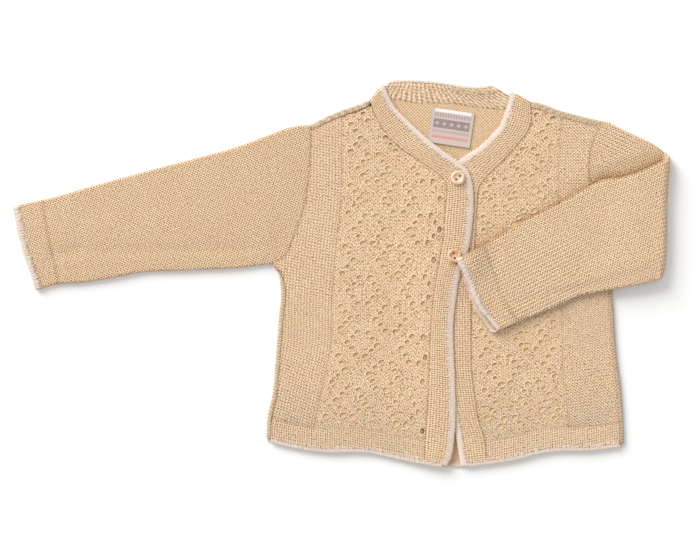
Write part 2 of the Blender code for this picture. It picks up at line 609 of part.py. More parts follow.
def return_height(x, y):
    """Height of the folded sleeve's middle above the floor, where it lies on the front."""
    button = math.hypot(x - BUTTONS[1][1], y - BUTTONS[1][2])
    rise = CUFF_RISE * ease(x, CUFF_RISE_FROM, CUFF_RISE_TO)
    rise += BUTTON_LIFT * (1.0 - ease(button, BUTTON_LIFT_NEAR, BUTTON_LIFT_FAR))
    settle = (2 * FOLD_RADIUS + (SLEEVE_FULLNESS + WALL) / 2 - RETURN_MID) * (
        1.0 - ease(x, FOLD_SETTLE_FROM, FOLD_SETTLE_TO)
    )
    return RETURN_MID + rise + settle


def left_sleeve_rings(stages):
    """Rings of the folded sleeve. A stage is (part, share): out from the armhole, round the fold, or back."""
    out_curves = (smooth(LEFT_OUT_BOTTOM), smooth(LEFT_OUT_TOP), smooth(ARMHOLE_LEFT), smooth(FOLD_OUT))
    back_curves = (smooth(LEFT_BACK_BOTTOM), smooth(LEFT_BACK_TOP), smooth(FOLD_BACK), smooth(LEFT_CUFF))
    out_length, back_length = out_curves[1].length, back_curves[1].length
    rest = (SLEEVE_FULLNESS + WALL) / 2
    rings = []
    for stage, share in stages:
        if stage == "out":
            away = share * out_length
            fullness = FRONT_MID - BACK_MID + (SLEEVE_FULLNESS - FRONT_MID + BACK_MID) * ease(away, 0, SLEEVE_EASE)
            line = across_line(out_curves, share)
            middle = WALL / 2 + fullness / 2
            ring = sleeve_section(line(0.0), line(1.0), middle, (0, 0, 1), fullness, 0.0, line)
        elif stage == "fold":
            turn = math.pi * (share - 0.5)
            reach = np.array([math.cos(turn) * FOLD_RADIUS, 0.0])
            lines = across_line(out_curves, 1.0), across_line(back_curves, 0.0)

            def line(across, lines=lines, share=share, reach=reach):
                return lines[0](across) * (1 - share) + lines[1](across) * share + reach

            upward = (-math.cos(turn), 0.0, -math.sin(turn))
            middle = rest + FOLD_RADIUS + math.sin(turn) * FOLD_RADIUS
            ring = sleeve_section(line(0.0), line(1.0), middle, upward, SLEEVE_FULLNESS, 0.0, line)
        else:
            line = across_line(back_curves, share)
            ring = sleeve_section(line(0.0), line(1.0), 0.0, (0, 0, -1), SLEEVE_FULLNESS, 0.0, line)
            crown = SLEEVE_CROWN * ease(share * back_length, 0, SLEEVE_EASE)
            slip = CUFF_SLIP * ease(share, 0.75, 1.0)
            start, end = line(0.0), line(1.0)
            along = line(0.5) - across_line(back_curves, share - 0.02 if share > 0.5 else share + 0.02)(0.5)
            along *= (1 if share > 0.5 else -1) / np.linalg.norm(along)
            for point in ring:
                lower = 0.5 - point[2] / SLEEVE_FULLNESS
                lift = return_height(*point[:2]) + crown * (1 - lower)
                upward = (point[:2] - start) @ (end - start) / ((end - start) @ (end - start))
                point[:2] += along * slip * lower * (1 - upward)
                point[2] += lift
        rings.append(ring)
    return np.array(rings).transpose(1, 0, 2)


def add_sleeve_left(group):
    """The left sleeve: out from the armhole on the floor, round a fold, and back across the front."""
    out_length, back_length = smooth(LEFT_OUT_TOP).length, smooth(LEFT_BACK_TOP).length
    trim = 1.0 - EDGE_TRIM / back_length
    stages = [("out", s) for s in np.linspace(ARMHOLE_GAP / out_length, 1.0, 5)]
    stages += [("fold", s) for s in np.linspace(0.0, 1.0, 8)[1:-1]]
    stages += [("back", s) for s in np.linspace(0.0, trim - CUFF_GAP_LEFT / back_length, 14)]
    cloth("sleeve_left", left_sleeve_rings(stages), WALL, KNIT, group, round_tube=True)
    end = left_sleeve_rings([("back", trim), ("back", 1.0)])
    cloth("edging_cuff_left", end, TRIM_WALL, TRIM, group, round_tube=True)


def add_bands(lines, side, group):
    """A front's ribbed band, its half of the neckband, and the edging that runs along both."""
    right = side == "right"
    turn = 1.0 if right else -1.0
    height = right_mid if right else left_mid
    rows = (
        (BAND_SEAM_RIGHT, NECK_SEAM_RIGHT, BAND_EDGE_RIGHT, NECK_EDGE_RIGHT)
        if right
        else (BAND_SEAM_LEFT, NECK_SEAM_LEFT, BAND_EDGE_LEFT, NECK_EDGE_LEFT)
    )
    band_seam, neck_seam, band_edge, neck_edge = (smooth(table) for table in rows)
    edge = joined(band_edge, neck_edge)
    knit_edge = edge.beside(turn * (EDGE_TRIM + SEAM))
    trim_edge = edge.beside(turn * EDGE_TRIM)
    band_seam = band_seam.beside(-turn * SEAM / 2)
    neck_seam = neck_seam.beside(-turn * SEAM / 2)
    split = band_edge.length / edge.length
    half_gap = SEAM / 2 / edge.length
    hem = lines["hem"].beside(PANEL_HEM)
    fold = shoulder_fold(side)
    band_rows = np.linspace(knit_edge.where_above(hem), split - half_gap, 20)
    seam_rows = np.linspace(band_seam.where_above(hem), 1.0 - SEAM / 2 / band_seam.length, 20)
    strip("button_band_" + side, band_seam.at(seam_rows), knit_edge.at(band_rows), height, RIB_WALL, KNIT, group)
    neck_rows = np.linspace(split + half_gap, knit_edge.where(fold.passed), 20)
    seam_rows = np.linspace(SEAM / 2 / neck_seam.length, neck_seam.where(fold.passed), 20)
    strip(
        "neckband_" + side,
        neck_seam.at(seam_rows),
        knit_edge.at(neck_rows),
        height,
        RIB_WALL,
        KNIT,
        group,
        fold=fold,
    )
    trim_rows = np.concatenate([[0.0], band_rows, neck_rows[:-1]])
    inner = trim_edge.at(np.append(trim_rows, trim_edge.where(fold.passed)))
    outer = edge.at(np.append(trim_rows, edge.where(fold.passed)))
    strip("edging_front_" + side, inner, outer, height, TRIM_WALL, TRIM, group, 2, fold)


def add_neckband_back(group):
    """The back of the neckband, flat on the floor behind the neck, and its edging."""
    right, left = shoulder_fold("right"), shoulder_fold("left")

    def rows(curve, count):
        start = curve.where(right.cleared)
        end = 1.0 - curve.turned_round().where(left.cleared)
        return curve.at(np.linspace(start, end, count))

    seam, top = smooth(BACK_NECK).beside(BACK_NECK_GAP), smooth(NECK_TOP)
    strip(
        "neckband_back",
        rows(seam, 20),
        rows(top.beside(-EDGE_TRIM / 2 - SEAM), 20),
        lambda x: RIB_BACK_MID + 0 * x,
        RIB_WALL,
        KNIT,
        group,
    )
    strip(
        "edging_neck_back",
        rows(top.beside(-EDGE_TRIM / 2), 20),
        rows(top, 20),
        lambda x: TRIM_WALL / 2 + 0 * x,
        TRIM_WALL,
        TRIM,
        group,
        2,
    )


def add_hem_trim(lines, group):
    """The narrow edging below the back, the right front and the left front."""
    hem = lines["hem"]
    front_right, front_left = smooth(BAND_EDGE_RIGHT).at(0.0)[0], smooth(BAND_EDGE_LEFT).at(0.0)[0]
    turned = EDGE_TRIM + SEAM
    for name, start, end, height in (
        ("edging_hem_back", hem.points[0][0] + 1.0, hem.points[-1][0] - 1.0, lambda x: TRIM_WALL / 2 + 0 * x),
        ("edging_hem_right", hem.points[0][0] + SIDE_ROLL + SEAM, front_right - turned, right_mid),
        ("edging_hem_left", front_left + turned, hem.points[-1][0] - SIDE_ROLL - SEAM, left_mid),
    ):
        rows = np.linspace(hem.share_at_x(start), hem.share_at_x(end), 20 if "back" in name else 12)
        strip(name, hem.beside(HEM_TRIM).at(rows), hem.at(rows), height, TRIM_WALL, TRIM, group, 2)


def add_button(name, x, y, hole_angle, group, cutters):
    """A round button, dished on top, with two holes for the thread."""
    mesh = bpy.data.meshes.new(name)
    work = bmesh.new()
    points = [work.verts.new((radius * MM, 0.0, height * MM)) for radius, height in BUTTON_PROFILE]
    for first, second in zip(points, points[1:]):
        work.edges.new((first, second))
    work.to_mesh(mesh)
    work.free()
    obj = add_object(name, mesh, PEARL, group)
    obj.location = (x * MM, y * MM, BUTTON_BASE * MM)
    turned = obj.modifiers.new("turned", "SCREW")
    turned.steps = turned.render_steps = 20
    turned.use_merge_vertices = True
    turned.merge_threshold = 0.00001
    for sign in (-1, 1):
        angle = math.radians(hole_angle)
        step = sign * BUTTON_HOLE_STEP / 2
        place = ((x + step * math.cos(angle)) * MM, (y + step * math.sin(angle)) * MM, (BUTTON_BASE + 1) * MM)
        work = bmesh.new()
        bmesh.ops.create_cone(
            work,
            cap_ends=True,
            segments=8,
            radius1=BUTTON_HOLE_RADIUS * MM,
            radius2=BUTTON_HOLE_RADIUS * MM,
            depth=8.0 * MM,
        )
        hole_mesh = bpy.data.meshes.new(f"{name}_hole")
        work.to_mesh(hole_mesh)
        work.free()
        cutter = bpy.data.objects.new(hole_mesh.name, hole_mesh)
        cutter.location = place
        cutter.hide_render = True
        cutter.display_type = "WIRE"
        cutters.objects.link(cutter)
        cut = obj.modifiers.new("thread_hole", "BOOLEAN")
        cut.operation = "DIFFERENCE"
        cut.object = cutter
        cut.solver = "EXACT"


def add_label(group):
    """The woven label, sewn flat to the inside of the back."""
    mesh = bpy.data.meshes.new("neck_label")
    work = bmesh.new()
    bmesh.ops.create_grid(work, x_segments=4, y_segments=3, size=0.5 * MM)
    bmesh.ops.scale(work, vec=(LABEL_WIDTH, LABEL_LENGTH, 1.0), verts=work.verts)
    work.to_mesh(mesh)
    work.free()
    obj = add_object("neck_label", mesh, SATIN, group)
    obj.location = (LABEL_X * MM, LABEL_Y * MM, (WALL + 0.3 + LABEL_WALL / 2) * MM)
    obj.rotation_euler.z = math.radians(LABEL_TURN)
    shell = obj.modifiers.new("cloth_wall", "SOLIDIFY")
    shell.thickness = LABEL_WALL * MM
    shell.offset = 0.0


def main():
    for obj in list(bpy.data.objects):
        bpy.data.objects.remove(obj, do_unlink=True)
    group = bpy.data.collections.new(NAME)
    cutters = bpy.data.collections.new("cutters")
    for collection in (group, cutters):
        bpy.context.scene.collection.children.link(collection)
    cutters.hide_render = True
    lines = outline()
    add_back(lines, group)
    for side in ("right", "left"):
        front, rim = add_front(lines, side, group)
        places = eyelets(side, rim, lines["hem"])
        cut_eyelets(front, places, cutters)
        add_bands(lines, side, group)
    add_neckband_back(group)
    add_hem_trim(lines, group)
    add_sleeve_right(group)
    add_sleeve_left(group)
    for name, x, y, hole_angle in BUTTONS:
        add_button(name, x, y, hole_angle, group, cutters)
    add_label(group)


main()
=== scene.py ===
"""The looks of a baby's knitted cardigan, laid flat on its back with one sleeve folded across its front.

Tables and surfaces are in millimetres on the same curves as the solids, +Z up, and every mesh is made in
metres. The neck points to +Y and the wearer's right to -X, so that it is on the left from above. Each cloth
piece is a thin shell on its solid's middle surface, with finer rows, creases, lace holes and knit.
"""

import json
import math

import bmesh
import bpy
import numpy as np
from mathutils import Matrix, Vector
from mathutils.geometry import delaunay_2d_cdt

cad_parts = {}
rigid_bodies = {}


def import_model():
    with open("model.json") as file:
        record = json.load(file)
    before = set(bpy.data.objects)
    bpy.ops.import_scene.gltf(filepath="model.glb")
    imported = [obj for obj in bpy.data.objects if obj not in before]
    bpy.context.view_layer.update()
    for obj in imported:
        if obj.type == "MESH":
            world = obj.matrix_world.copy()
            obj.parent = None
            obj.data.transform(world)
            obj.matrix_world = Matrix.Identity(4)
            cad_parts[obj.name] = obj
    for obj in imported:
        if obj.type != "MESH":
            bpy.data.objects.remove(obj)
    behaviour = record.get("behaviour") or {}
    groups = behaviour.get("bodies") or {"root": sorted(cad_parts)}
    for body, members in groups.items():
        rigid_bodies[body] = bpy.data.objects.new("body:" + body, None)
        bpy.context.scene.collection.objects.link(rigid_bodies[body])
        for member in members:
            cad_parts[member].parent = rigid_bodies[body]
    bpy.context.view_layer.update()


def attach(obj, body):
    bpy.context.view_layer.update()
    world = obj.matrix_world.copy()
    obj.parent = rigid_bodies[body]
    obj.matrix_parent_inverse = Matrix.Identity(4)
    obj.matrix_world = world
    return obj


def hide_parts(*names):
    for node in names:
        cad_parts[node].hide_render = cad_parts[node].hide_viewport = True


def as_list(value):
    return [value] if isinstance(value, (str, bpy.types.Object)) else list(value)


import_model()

MM = 0.001

# Cloth
WALL = 1.5  # one layer of the fine knit
RIB_WALL = 1.8  # the doubled knit of the bands and the neckband
TRIM_WALL = 1.6  # the overlocked edging
SEAM = 0.5  # clear space between two pieces at a seam of the solids
NEAR = 0.05  # the same between two cloth pieces here
EDGE_TRIM = 3.8  # how far the edging stands out of the front, neck and cuff edges
HEM_TRIM = 2.4  # the same at the hem
PANEL_HEM = 3.1  # from the garment's lower outline to where its panels end

# Layers, as heights of the middle of the cloth
BACK_MID = WALL / 2
RIB_BACK_MID = RIB_WALL / 2
FRONT_MID = 3.0  # a front that lies on the back
OVERLAP_RISE = 2.15  # how far the right front climbs over the left one
RISE_FROM, RISE_TO = -44.0, -5.0  # where it climbs, along X
ROLL = 1.875  # from a rolled edge to the centre of its turn
SIDE_ROLL = 3.0  # how far the back comes round to the front at the sides
SHOULDER_ROLL = 4.5  # and at the shoulders

# The cut of each side, from the hem to the shoulder. Columns: x, y. "side" and "armhole" are the back's
# outline, and "shoulder" its top, inwards. The seams and edges of the band and the neckband run up the centre
# front and round the neck. "fold" is where the neckband turns under, at its seam and at its edge, and
# "lace_edge" runs down the outer side of the lace.
CUT = {
    "right": {
        "side": [
            (-144.8, -133.4), (-143.2, -112.0), (-140.0, -98.4), (-136.8, -65.6), (-134.4, -36.0),
            (-132.8, -11.2), (-135.4, 0.0), (-140.5, 8.6),
        ],
        "armhole": [
            (-140.5, 8.6), (-130.4, 14.4), (-125.0, 24.4), (-120.8, 35.2), (-116.8, 46.4), (-113.2, 61.6),
            (-111.2, 75.2), (-109.6, 98.0), (-108.8, 119.6),
        ],
        "shoulder": [(-108.8, 119.6), (-93.6, 127.2), (-81.6, 132.0), (-69.6, 136.2), (-61.4, 139.6)],
        "band_seam": [
            (-17.6, -152.2), (-16.8, -133.6), (-14.4, -95.2), (-13.6, -71.2), (-11.2, -27.2), (-4.0, 19.2),
            (-2.4, 28.0), (-1.2, 48.0), (0.8, 67.0),
        ],
        "neck_seam": [
            (0.8, 67.0), (-0.4, 73.4), (-5.6, 79.6), (-18.4, 88.8), (-38.4, 102.4), (-53.6, 120.8),
            (-59.4, 133.0), (-61.4, 139.6), (-62.6, 143.6),
        ],
        "band_edge": [
            (-0.4, -153.6), (3.0, -145.6), (5.6, -127.2), (6.4, -102.4), (5.6, -78.4), (4.8, -36.0),
            (6.4, -22.4), (10.4, 0.8), (16.8, 19.2), (19.0, 34.0), (20.8, 58.0), (20.2, 70.0),
        ],
        "neck_edge": [
            (20.2, 70.0), (17.4, 81.0), (11.2, 88.0), (4.0, 93.2), (-5.6, 99.8), (-17.6, 109.6),
            (-32.0, 123.2), (-43.2, 135.4), (-47.6, 144.0), (-51.2, 153.2), (-53.0, 158.0),
        ],
        "fold": [(-61.4, 139.6), (-51.2, 153.2)],
        "lace_edge": [
            (-84.0, 124.8), (-84.8, 59.2), (-89.6, 11.2), (-92.0, -20.8), (-92.8, -56.8), (-98.4, -84.8),
            (-106.4, -123.2),
        ],
    },
    "left": {
        "side": [
            (142.0, -137.6), (141.4, -119.2), (139.2, -89.6), (136.3, -68.8), (133.6, -31.2), (132.8, -14.4),
            (134.6, -4.6), (138.6, 2.6),
        ],
        "armhole": [
            (138.6, 2.6), (130.0, 9.0), (124.4, 22.0), (119.4, 40.0), (115.8, 58.0), (114.4, 76.0),
            (114.6, 94.4), (117.8, 108.0), (124.0, 122.4),
        ],
        "shoulder": [(124.0, 122.4), (107.2, 126.4), (87.2, 132.0), (75.2, 136.6), (66.6, 138.2)],
        "band_seam": [
            (31.4, -152.2), (30.8, -140.0), (28.6, -128.0), (25.6, -119.6), (23.2, -105.6), (19.8, -79.2),
            (19.2, -48.8), (19.2, -28.8), (20.5, 0.0), (22.5, 30.0), (24.4, 64.0),
        ],
        "neck_seam": [
            (24.4, 64.0), (26.0, 70.4), (30.8, 77.0), (45.8, 92.0), (57.3, 104.8), (63.4, 112.6),
            (67.4, 122.0), (67.2, 130.4), (66.6, 138.2), (66.2, 142.0),
        ],
        "band_edge": [
            (11.4, -153.8), (9.0, -139.0), (6.6, -124.0), (3.0, -105.0), (-0.6, -79.0), (-1.6, -48.8),
            (-1.6, -28.8), (0.0, 0.0), (2.4, 30.0), (3.6, 67.0),
        ],
        "neck_edge": [
            (3.6, 67.0), (5.2, 82.0), (10.6, 91.4), (17.6, 96.2), (25.6, 101.2), (35.2, 110.4),
            (41.6, 117.0), (45.2, 125.0), (48.8, 135.0), (51.4, 146.4), (52.4, 151.0),
        ],
        "fold": [(66.6, 138.2), (51.4, 146.4)],
        "lace_edge": [
            (92.8, 127.2), (90.4, 104.8), (89.3, 78.4), (89.9, 58.4), (92.0, -27.2), (92.6, -57.6),
            (93.2, -79.2), (96.0, -101.6), (97.6, -121.6),
        ],
    },
}
OUTWARD = {"right": -1.0, "left": 1.0}  # the way along X from the centre front to each side

# Lines that both sides share, from the right to the left. Columns: x, y.
BACK_NECK = [(-61.0, 135.6), (-56.0, 136.6), (-48.0, 138.6), (-39.2, 139.0), (-24.8, 137.0),
             (1.6, 136.6), (28.0, 133.2), (43.2, 132.0), (55.0, 132.9), (65.8, 133.6)]
HEM = [(-144.8, -133.4), (-128.8, -137.6), (-101.6, -142.4), (-61.6, -143.2), (-43.2, -147.2),
       (-18.4, -152.0), (-1.6, -154.4), (12.0, -154.4), (34.4, -152.0), (58.4, -148.0), (71.2, -144.4),
       (87.2, -141.8), (113.6, -141.4), (142.0, -137.6)]
NECK_TOP = [(-51.2, 153.2), (-46.4, 154.4), (-24.8, 155.2), (-4.8, 153.6), (15.2, 150.6), (28.0, 150.2),
            (41.6, 152.6), (46.4, 152.0), (51.4, 146.4)]
NECK_TAIL = 1.0  # how far the neckband runs on beneath the fold

# The right sleeve, stretched out. Columns: x, y, from the armhole to the cuff, and up the cuff.
RIGHT_TOP = [(-108.8, 119.6), (-123.2, 118.0), (-144.8, 110.4), (-171.2, 100.8), (-197.6, 93.6),
             (-237.6, 83.2), (-284.0, 70.4), (-314.4, 61.6), (-346.8, 54.4)]
RIGHT_BOTTOM = [(-140.5, 8.6), (-165.6, 5.6), (-210.4, 3.2), (-247.2, 1.2), (-265.6, -2.4),
                (-288.8, -6.4), (-316.0, -9.0), (-328.6, -13.0)]
RIGHT_CUFF = [(-328.6, -13.0), (-332.8, 0.0), (-338.4, 16.0), (-344.2, 39.2), (-346.8, 54.4)]

# The left sleeve, folded back. Columns: x, y.
LEFT_OUT_TOP = [(124.0, 122.4), (127.2, 122.0), (140.0, 116.0), (153.6, 109.6), (167.2, 102.6), (173.6, 97.6)]
LEFT_OUT_BOTTOM = [(138.6, 2.6), (150.0, 0.4), (166.6, -1.6)]
FOLD_OUT = [(166.6, -1.6), (169.4, 8.8), (170.4, 29.6), (170.8, 60.0), (172.2, 80.0), (173.6, 97.6)]
FOLD_BACK = [(166.6, -5.4), (169.4, 8.8), (170.4, 29.6), (170.8, 60.0), (172.0, 78.0), (172.6, 90.6)]
LEFT_BACK_TOP = [(172.6, 90.6), (151.2, 81.2), (137.6, 77.2), (128.8, 76.6), (115.2, 71.2), (94.4, 59.2),
                 (78.4, 51.2), (64.8, 44.8), (50.4, 36.0), (37.6, 28.0), (23.2, 20.0), (7.6, 12.6)]
LEFT_BACK_BOTTOM = [(166.6, -5.4), (151.2, -8.8), (135.2, -12.0), (113.6, -16.0), (100.8, -19.2),
                    (91.2, -24.8), (80.8, -28.8), (60.8, -36.8), (40.8, -45.6)]
LEFT_CUFF = [(40.8, -45.6), (32.0, -35.2), (25.6, -27.2), (20.4, -16.8), (16.8, -8.0), (12.4, 2.4),
             (7.6, 12.6)]

SLEEVE_FULLNESS = 2.6  # between the middles of a pressed sleeve's two layers
SLEEVE_CROWN = 0.9  # how much more its upper layer bulges along the middle
SLEEVE_EASE = 30.0  # over this length from the armhole the sleeve fills out
FOLD_RADIUS = 3.6  # of the sleeve's own middle, where it turns back
RETURN_MID = 6.15  # height of the folded sleeve's middle on the front
CUFF_RISE = 2.25  # how much higher it lies on the bands
CUFF_RISE_FROM, CUFF_RISE_TO = 42.0, 19.0  # where it climbs, along X
FOLD_SETTLE_FROM, FOLD_SETTLE_TO = 172.0, 112.0  # where it sinks from the fold to the front, along X
CUFF_SLIP = 5.0  # how far its lower layer slides out past the upper one at the cuff's lower corner
BUTTON_LIFT = 2.75  # how much higher the cuff's corner lies, on the button
BUTTON_LIFT_NEAR, BUTTON_LIFT_FAR = 9.0, 32.0  # from the button's middle

# Eyelet lace, on diamonds in a half-drop repeat
LACE_WIDTH = 84.0
DIAMOND_STEP_ACROSS = 22.0  # from one column of diamonds to the next
DIAMOND_STEP_DOWN = 24.5  # from a diamond to the next one in the neighbouring column
FIRST_DIAMOND_IN, FIRST_DIAMOND_Y = 3.0, 157.8
COURSE_TILT = 0.15  # slope of the courses at the hem
TILT_FROM, TILT_TO = -12.8, -87.2  # where the courses start to slope, and where they have that slope
LACE_SHIFT = {"right": 0.0, "left": 4.6}  # how much higher each front's repeat starts
# The larger eyelets of one side of a diamond. Columns: across, up.
DIAMOND = [(4.4, 10.8), (12.0, 0.0), (4.0, -10.8)]
EYELET_WIDTH, EYELET_HEIGHT = 3.8, 4.6
HEM_BORDER = 21.0  # plain knit above the hem

# Buttons. Columns: name, x, y, angle of the line through its two holes in degrees.
BUTTONS = [("button_top", 8.7, 76.9, 45.0), ("button_lower", 5.9, 14.5, -79.0)]
BUTTON_BASE = FRONT_MID + OVERLAP_RISE + RIB_WALL / 2 + 0.3
BUTTON_HOLE_RADIUS, BUTTON_HOLE_STEP = 0.85, 4.0
# Half of the button's section, down its outer side. Columns: radius, height.
BUTTON_PROFILE = [(0.0, 1.45), (2.6, 1.5), (3.5, 2.1), (4.6, 2.25), (5.4, 1.8), (5.65, 1.2), (5.2, 0.5),
                  (3.6, 0.0), (0.0, 0.0)]

LABEL_WIDTH, LABEL_LENGTH, LABEL_WALL = 34.0, 28.0, 0.8
LABEL_X, LABEL_Y, LABEL_TURN = 3.4, 117.2, -8.6


def ease(value, start, end):
    """0 before start and 1 after end, with a smooth change between them."""
    t = np.clip((np.asarray(value, float) - start) / (end - start), 0.0, 1.0)
    return t * t * (3 - 2 * t)


class Curve:
    """A line in plan, read by its share of length from 0 to 1."""

    def __init__(self, points, run=None):
        self.points = np.array(points, float)
        steps = np.linalg.norm(np.diff(self.points, axis=0), axis=1)
        self.run = np.concatenate([[0.0], np.cumsum(steps)]) if run is None else run
        self.length = self.run[-1]

    def at(self, share):
        """Points at shares of the length."""
        along = np.clip(share, 0.0, 1.0) * self.length
        return np.stack([np.interp(along, self.run, self.points[:, k]) for k in (0, 1)], -1)

    def turned_round(self):
        """The line run backwards."""
        return Curve(self.points[::-1], self.run[-1] - self.run[::-1])

    def beside(self, left):
        """The line moved to the left, by one distance or one for each point. It keeps this line's shares."""
        along = np.gradient(self.points, axis=0)
        along /= np.linalg.norm(along, axis=1)[:, None]
        across = np.stack([-along[:, 1], along[:, 0]], -1)
        return Curve(self.points + np.reshape(left, (-1, 1)) * across, self.run)

    def part(self, start, end):
        """The stretch between two shares of the length."""
        inside = (self.run > start * self.length) & (self.run < end * self.length)
        return Curve(np.vstack([self.at(start), self.points[inside], self.at(end)]))

    def where(self, value):
        """The share at which a value of the points first climbs past zero."""
        shares = np.linspace(0.0, 1.0, 1201)
        values = value(self.at(shares))
        after = int(np.argmax(values > 0))
        if after == 0:
            return 0.0
        before = after - 1
        return shares[before] - values[before] / (values[after] - values[before]) * shares[1]

    def where_above(self, base):
        """The share at which this line, which runs up, crosses one that runs along X."""
        return self.where(lambda p: p[:, 1] - np.interp(p[:, 0], base.points[:, 0], base.points[:, 1]))

    def share_at_x(self, x):
        """The share where a line that runs along X passes x."""
        return np.interp(x, self.points[:, 0], self.run) / self.length


def smooth(rows, spans=8):
    """A smooth curve through the rows of a table."""
    rows = np.array(rows, float)
    run = np.concatenate([[0.0], np.cumsum(np.linalg.norm(np.diff(rows, axis=0), axis=1))])
    slope = np.gradient(rows, run, axis=0)
    points = []
    for i in range(len(rows) - 1):
        step = run[i + 1] - run[i]
        for t in np.arange(spans) / spans:
            points.append(
                rows[i] * (1 + 2 * t) * (1 - t) ** 2
                + rows[i + 1] * t * t * (3 - 2 * t)
                + step * (slope[i] * t * (1 - t) ** 2 - slope[i + 1] * t * t * (1 - t))
            )
    return Curve(points + [rows[-1]])


def joined(first, second):
    """Two lines made one, where the second starts at the first one's end."""
    return Curve(np.vstack([first.points, second.points[1:]]))


def patch(left, right, bottom, top, across, up):
    """Plan points of a Coons patch inside four curves, at shares across it and up it."""
    s, t = np.meshgrid(across, up, indexing="ij")
    s, t = s[..., None], t[..., None]
    sides = (1 - s) * left.at(up)[None] + s * right.at(up)[None]
    ends = (1 - t) * bottom.at(across)[:, None] + t * top.at(across)[:, None]
    corners = (
        (1 - s) * (1 - t) * bottom.at(0.0)
        + s * (1 - t) * bottom.at(1.0)
        + (1 - s) * t * top.at(0.0)
        + s * t * top.at(1.0)
    )
    return sides + ends - corners


def raised(plan, height):
    """Plan points given their heights."""
    return np.concatenate([plan, np.broadcast_to(height, plan.shape[:-1])[..., None]], -1)


def cut(side, name):
    """A smooth curve of one side's cut."""
    return smooth(CUT[side][name])


def right_mid(x):
    """Height of the right front's middle surface."""
    return FRONT_MID + OVERLAP_RISE * ease(x, RISE_FROM, RISE_TO)


def left_mid(x):
    """Height of the left front's middle surface."""
    return FRONT_MID + 0.0 * np.asarray(x)


FRONT_MIDDLE = {"right": right_mid, "left": left_mid}


class Fold:
    """The line at a shoulder about which the neckband turns under, from its seam to its edge."""

    def __init__(self, seam_end, neck_end, arriving):
        along = np.subtract(neck_end, seam_end) / np.linalg.norm(np.subtract(neck_end, seam_end))
        self.ahead = np.array([-along[1], along[0]])
        if self.ahead @ arriving < 0:
            self.ahead = -self.ahead
        self.onward = 2 * (arriving @ along) * along - arriving
        self.start = np.array(seam_end) - self.ahead * ((FRONT_MID - RIB_BACK_MID) / 2 + RIB_WALL / 2)

    def passed(self, points):
        """How far points have gone past the start of the fold."""
        return (points - self.start) @ self.ahead

    def cleared(self, points):
        """How far points lie inside the end of the tail, with a seam between."""
        return -(points - self.start - self.onward * (NECK_TAIL + 2 * SEAM)) @ self.ahead


def shoulder_fold(side):
    """The fold at one shoulder, met in the direction in which the neck seam arrives."""
    neck = CUT[side]["neck_seam"]
    arriving = np.subtract(neck[-2], neck[-3])
    return Fold(*CUT[side]["fold"], arriving / np.linalg.norm(arriving))


def outline():
    """The garment's curves that more than one piece uses."""
    lines = {"hem": smooth(HEM)}
    for side in CUT:
        lines[side] = joined(cut(side, "side"), cut(side, "armhole"))
        lines["shoulder_" + side] = cut(side, "shoulder")
    return lines


def underarm_share(side):
    """Where the underarm lies on the outline from the hem to the shoulder."""
    seam, armhole = cut(side, "side"), cut(side, "armhole")
    return seam.length / (seam.length + armhole.length)


def side_roll(share, underarm, later=0.0):
    """1 along the side seam, where the back rolls to the front, and 0 along the armhole."""
    return 1.0 - ease(share, underarm - 0.075 + later, underarm - 0.025 + later)


def front_curves(lines, side):
    """The four curves round a front: outer side, centre, hem and shoulder."""
    outward = OUTWARD[side]
    outer = lines[side]
    rolled = side_roll(outer.run / outer.length, underarm_share(side), FRONT_ROLL_LATER)
    outer = outer.beside(outward * (NEAR + (SIDE_ROLL + NEAR) * rolled))
    centre = joined(cut(side, "band_seam"), cut(side, "neck_seam")).beside(-outward * NEAR)
    hem = lines["hem"].beside(PANEL_HEM)
    shoulder = lines["shoulder_" + side].beside(outward * (SHOULDER_ROLL + NEAR))
    outer = outer.part(outer.where_above(hem), 1.0 - (SHOULDER_ROLL + NEAR) / outer.length)
    centre = centre.part(centre.where_above(hem), 1.0 - shoulder_drop(side, centre) / centre.length)
    ends = sorted((hem.share_at_x(outer.at(0.0)[0]), hem.share_at_x(centre.at(0.0)[0])))
    hem = hem.part(*ends)
    return outer, centre, hem if side == "right" else hem.turned_round(), shoulder


def shoulder_drop(side, centre):
    """How far before its end a front's neck line stops, so that the back's rolled shoulder fits above it."""
    end = CUT[side]["fold"][0]
    return centre.length * (1.0 - centre.where(lambda p: p[:, 1] - end[1])) + SHOULDER_ROLL + SEAM


def fitted(curve, start, end):
    """The curve turned and stretched a little, so that it runs between two points."""
    shares = (curve.run / curve.length)[:, None]
    moved = curve.points + (1 - shares) * (start - curve.points[0]) + shares * (end - curve.points[-1])
    return Curve(moved)


# What only the looks have
VIEW_X, VIEW_Y, VIEW_WIDTH = -77.6, -4.8, 560.0  # what the camera sees, in plan
VIEW_LEVEL = 5.0  # the height at which it sees that width
LENS, SENSOR = 135.0, 36.0
WINDOW_TOWARDS, WINDOW_AWAY = (-0.62, 0.74, 0.50), 12.0  # direction and distance in metres
WINDOW_SIZE, WINDOW_POWER, WINDOW_COLOR = 7.0, 1585.0, (1.0, 0.995, 0.98)
ROOM_LIGHT = 0.64
TABLE_SIZE, TABLE_TONE = 3.0, 0.96
TABLE_DROP = 0.05  # how far the table top lies below the cloth
ROW_STEP = 1.5  # between the rows of a fine mesh
BAND_STEP, HEM_STEP = 1.3, 1.2  # the same for the bands and the hem's edging
KNIT_STEP = 1.75  # between the points of a front
BACK_WIDTH = 280.0  # about how wide the back is, to turn distances into shares
BACK_ROWS, BACK_SHOULDER_COLUMNS, BACK_NECK_COLUMNS = 118, 20, 56  # points up the back and across its parts
CORNER = 0.001  # share of the back's top between the last column of a shoulder and the corner of the neck
FRONT_ROLL_LATER = 0.025  # share of the outline by which the fronts keep clear of the back's roll for longer
DIAMOND_COLUMNS, DIAMOND_ROWS = 5, 7
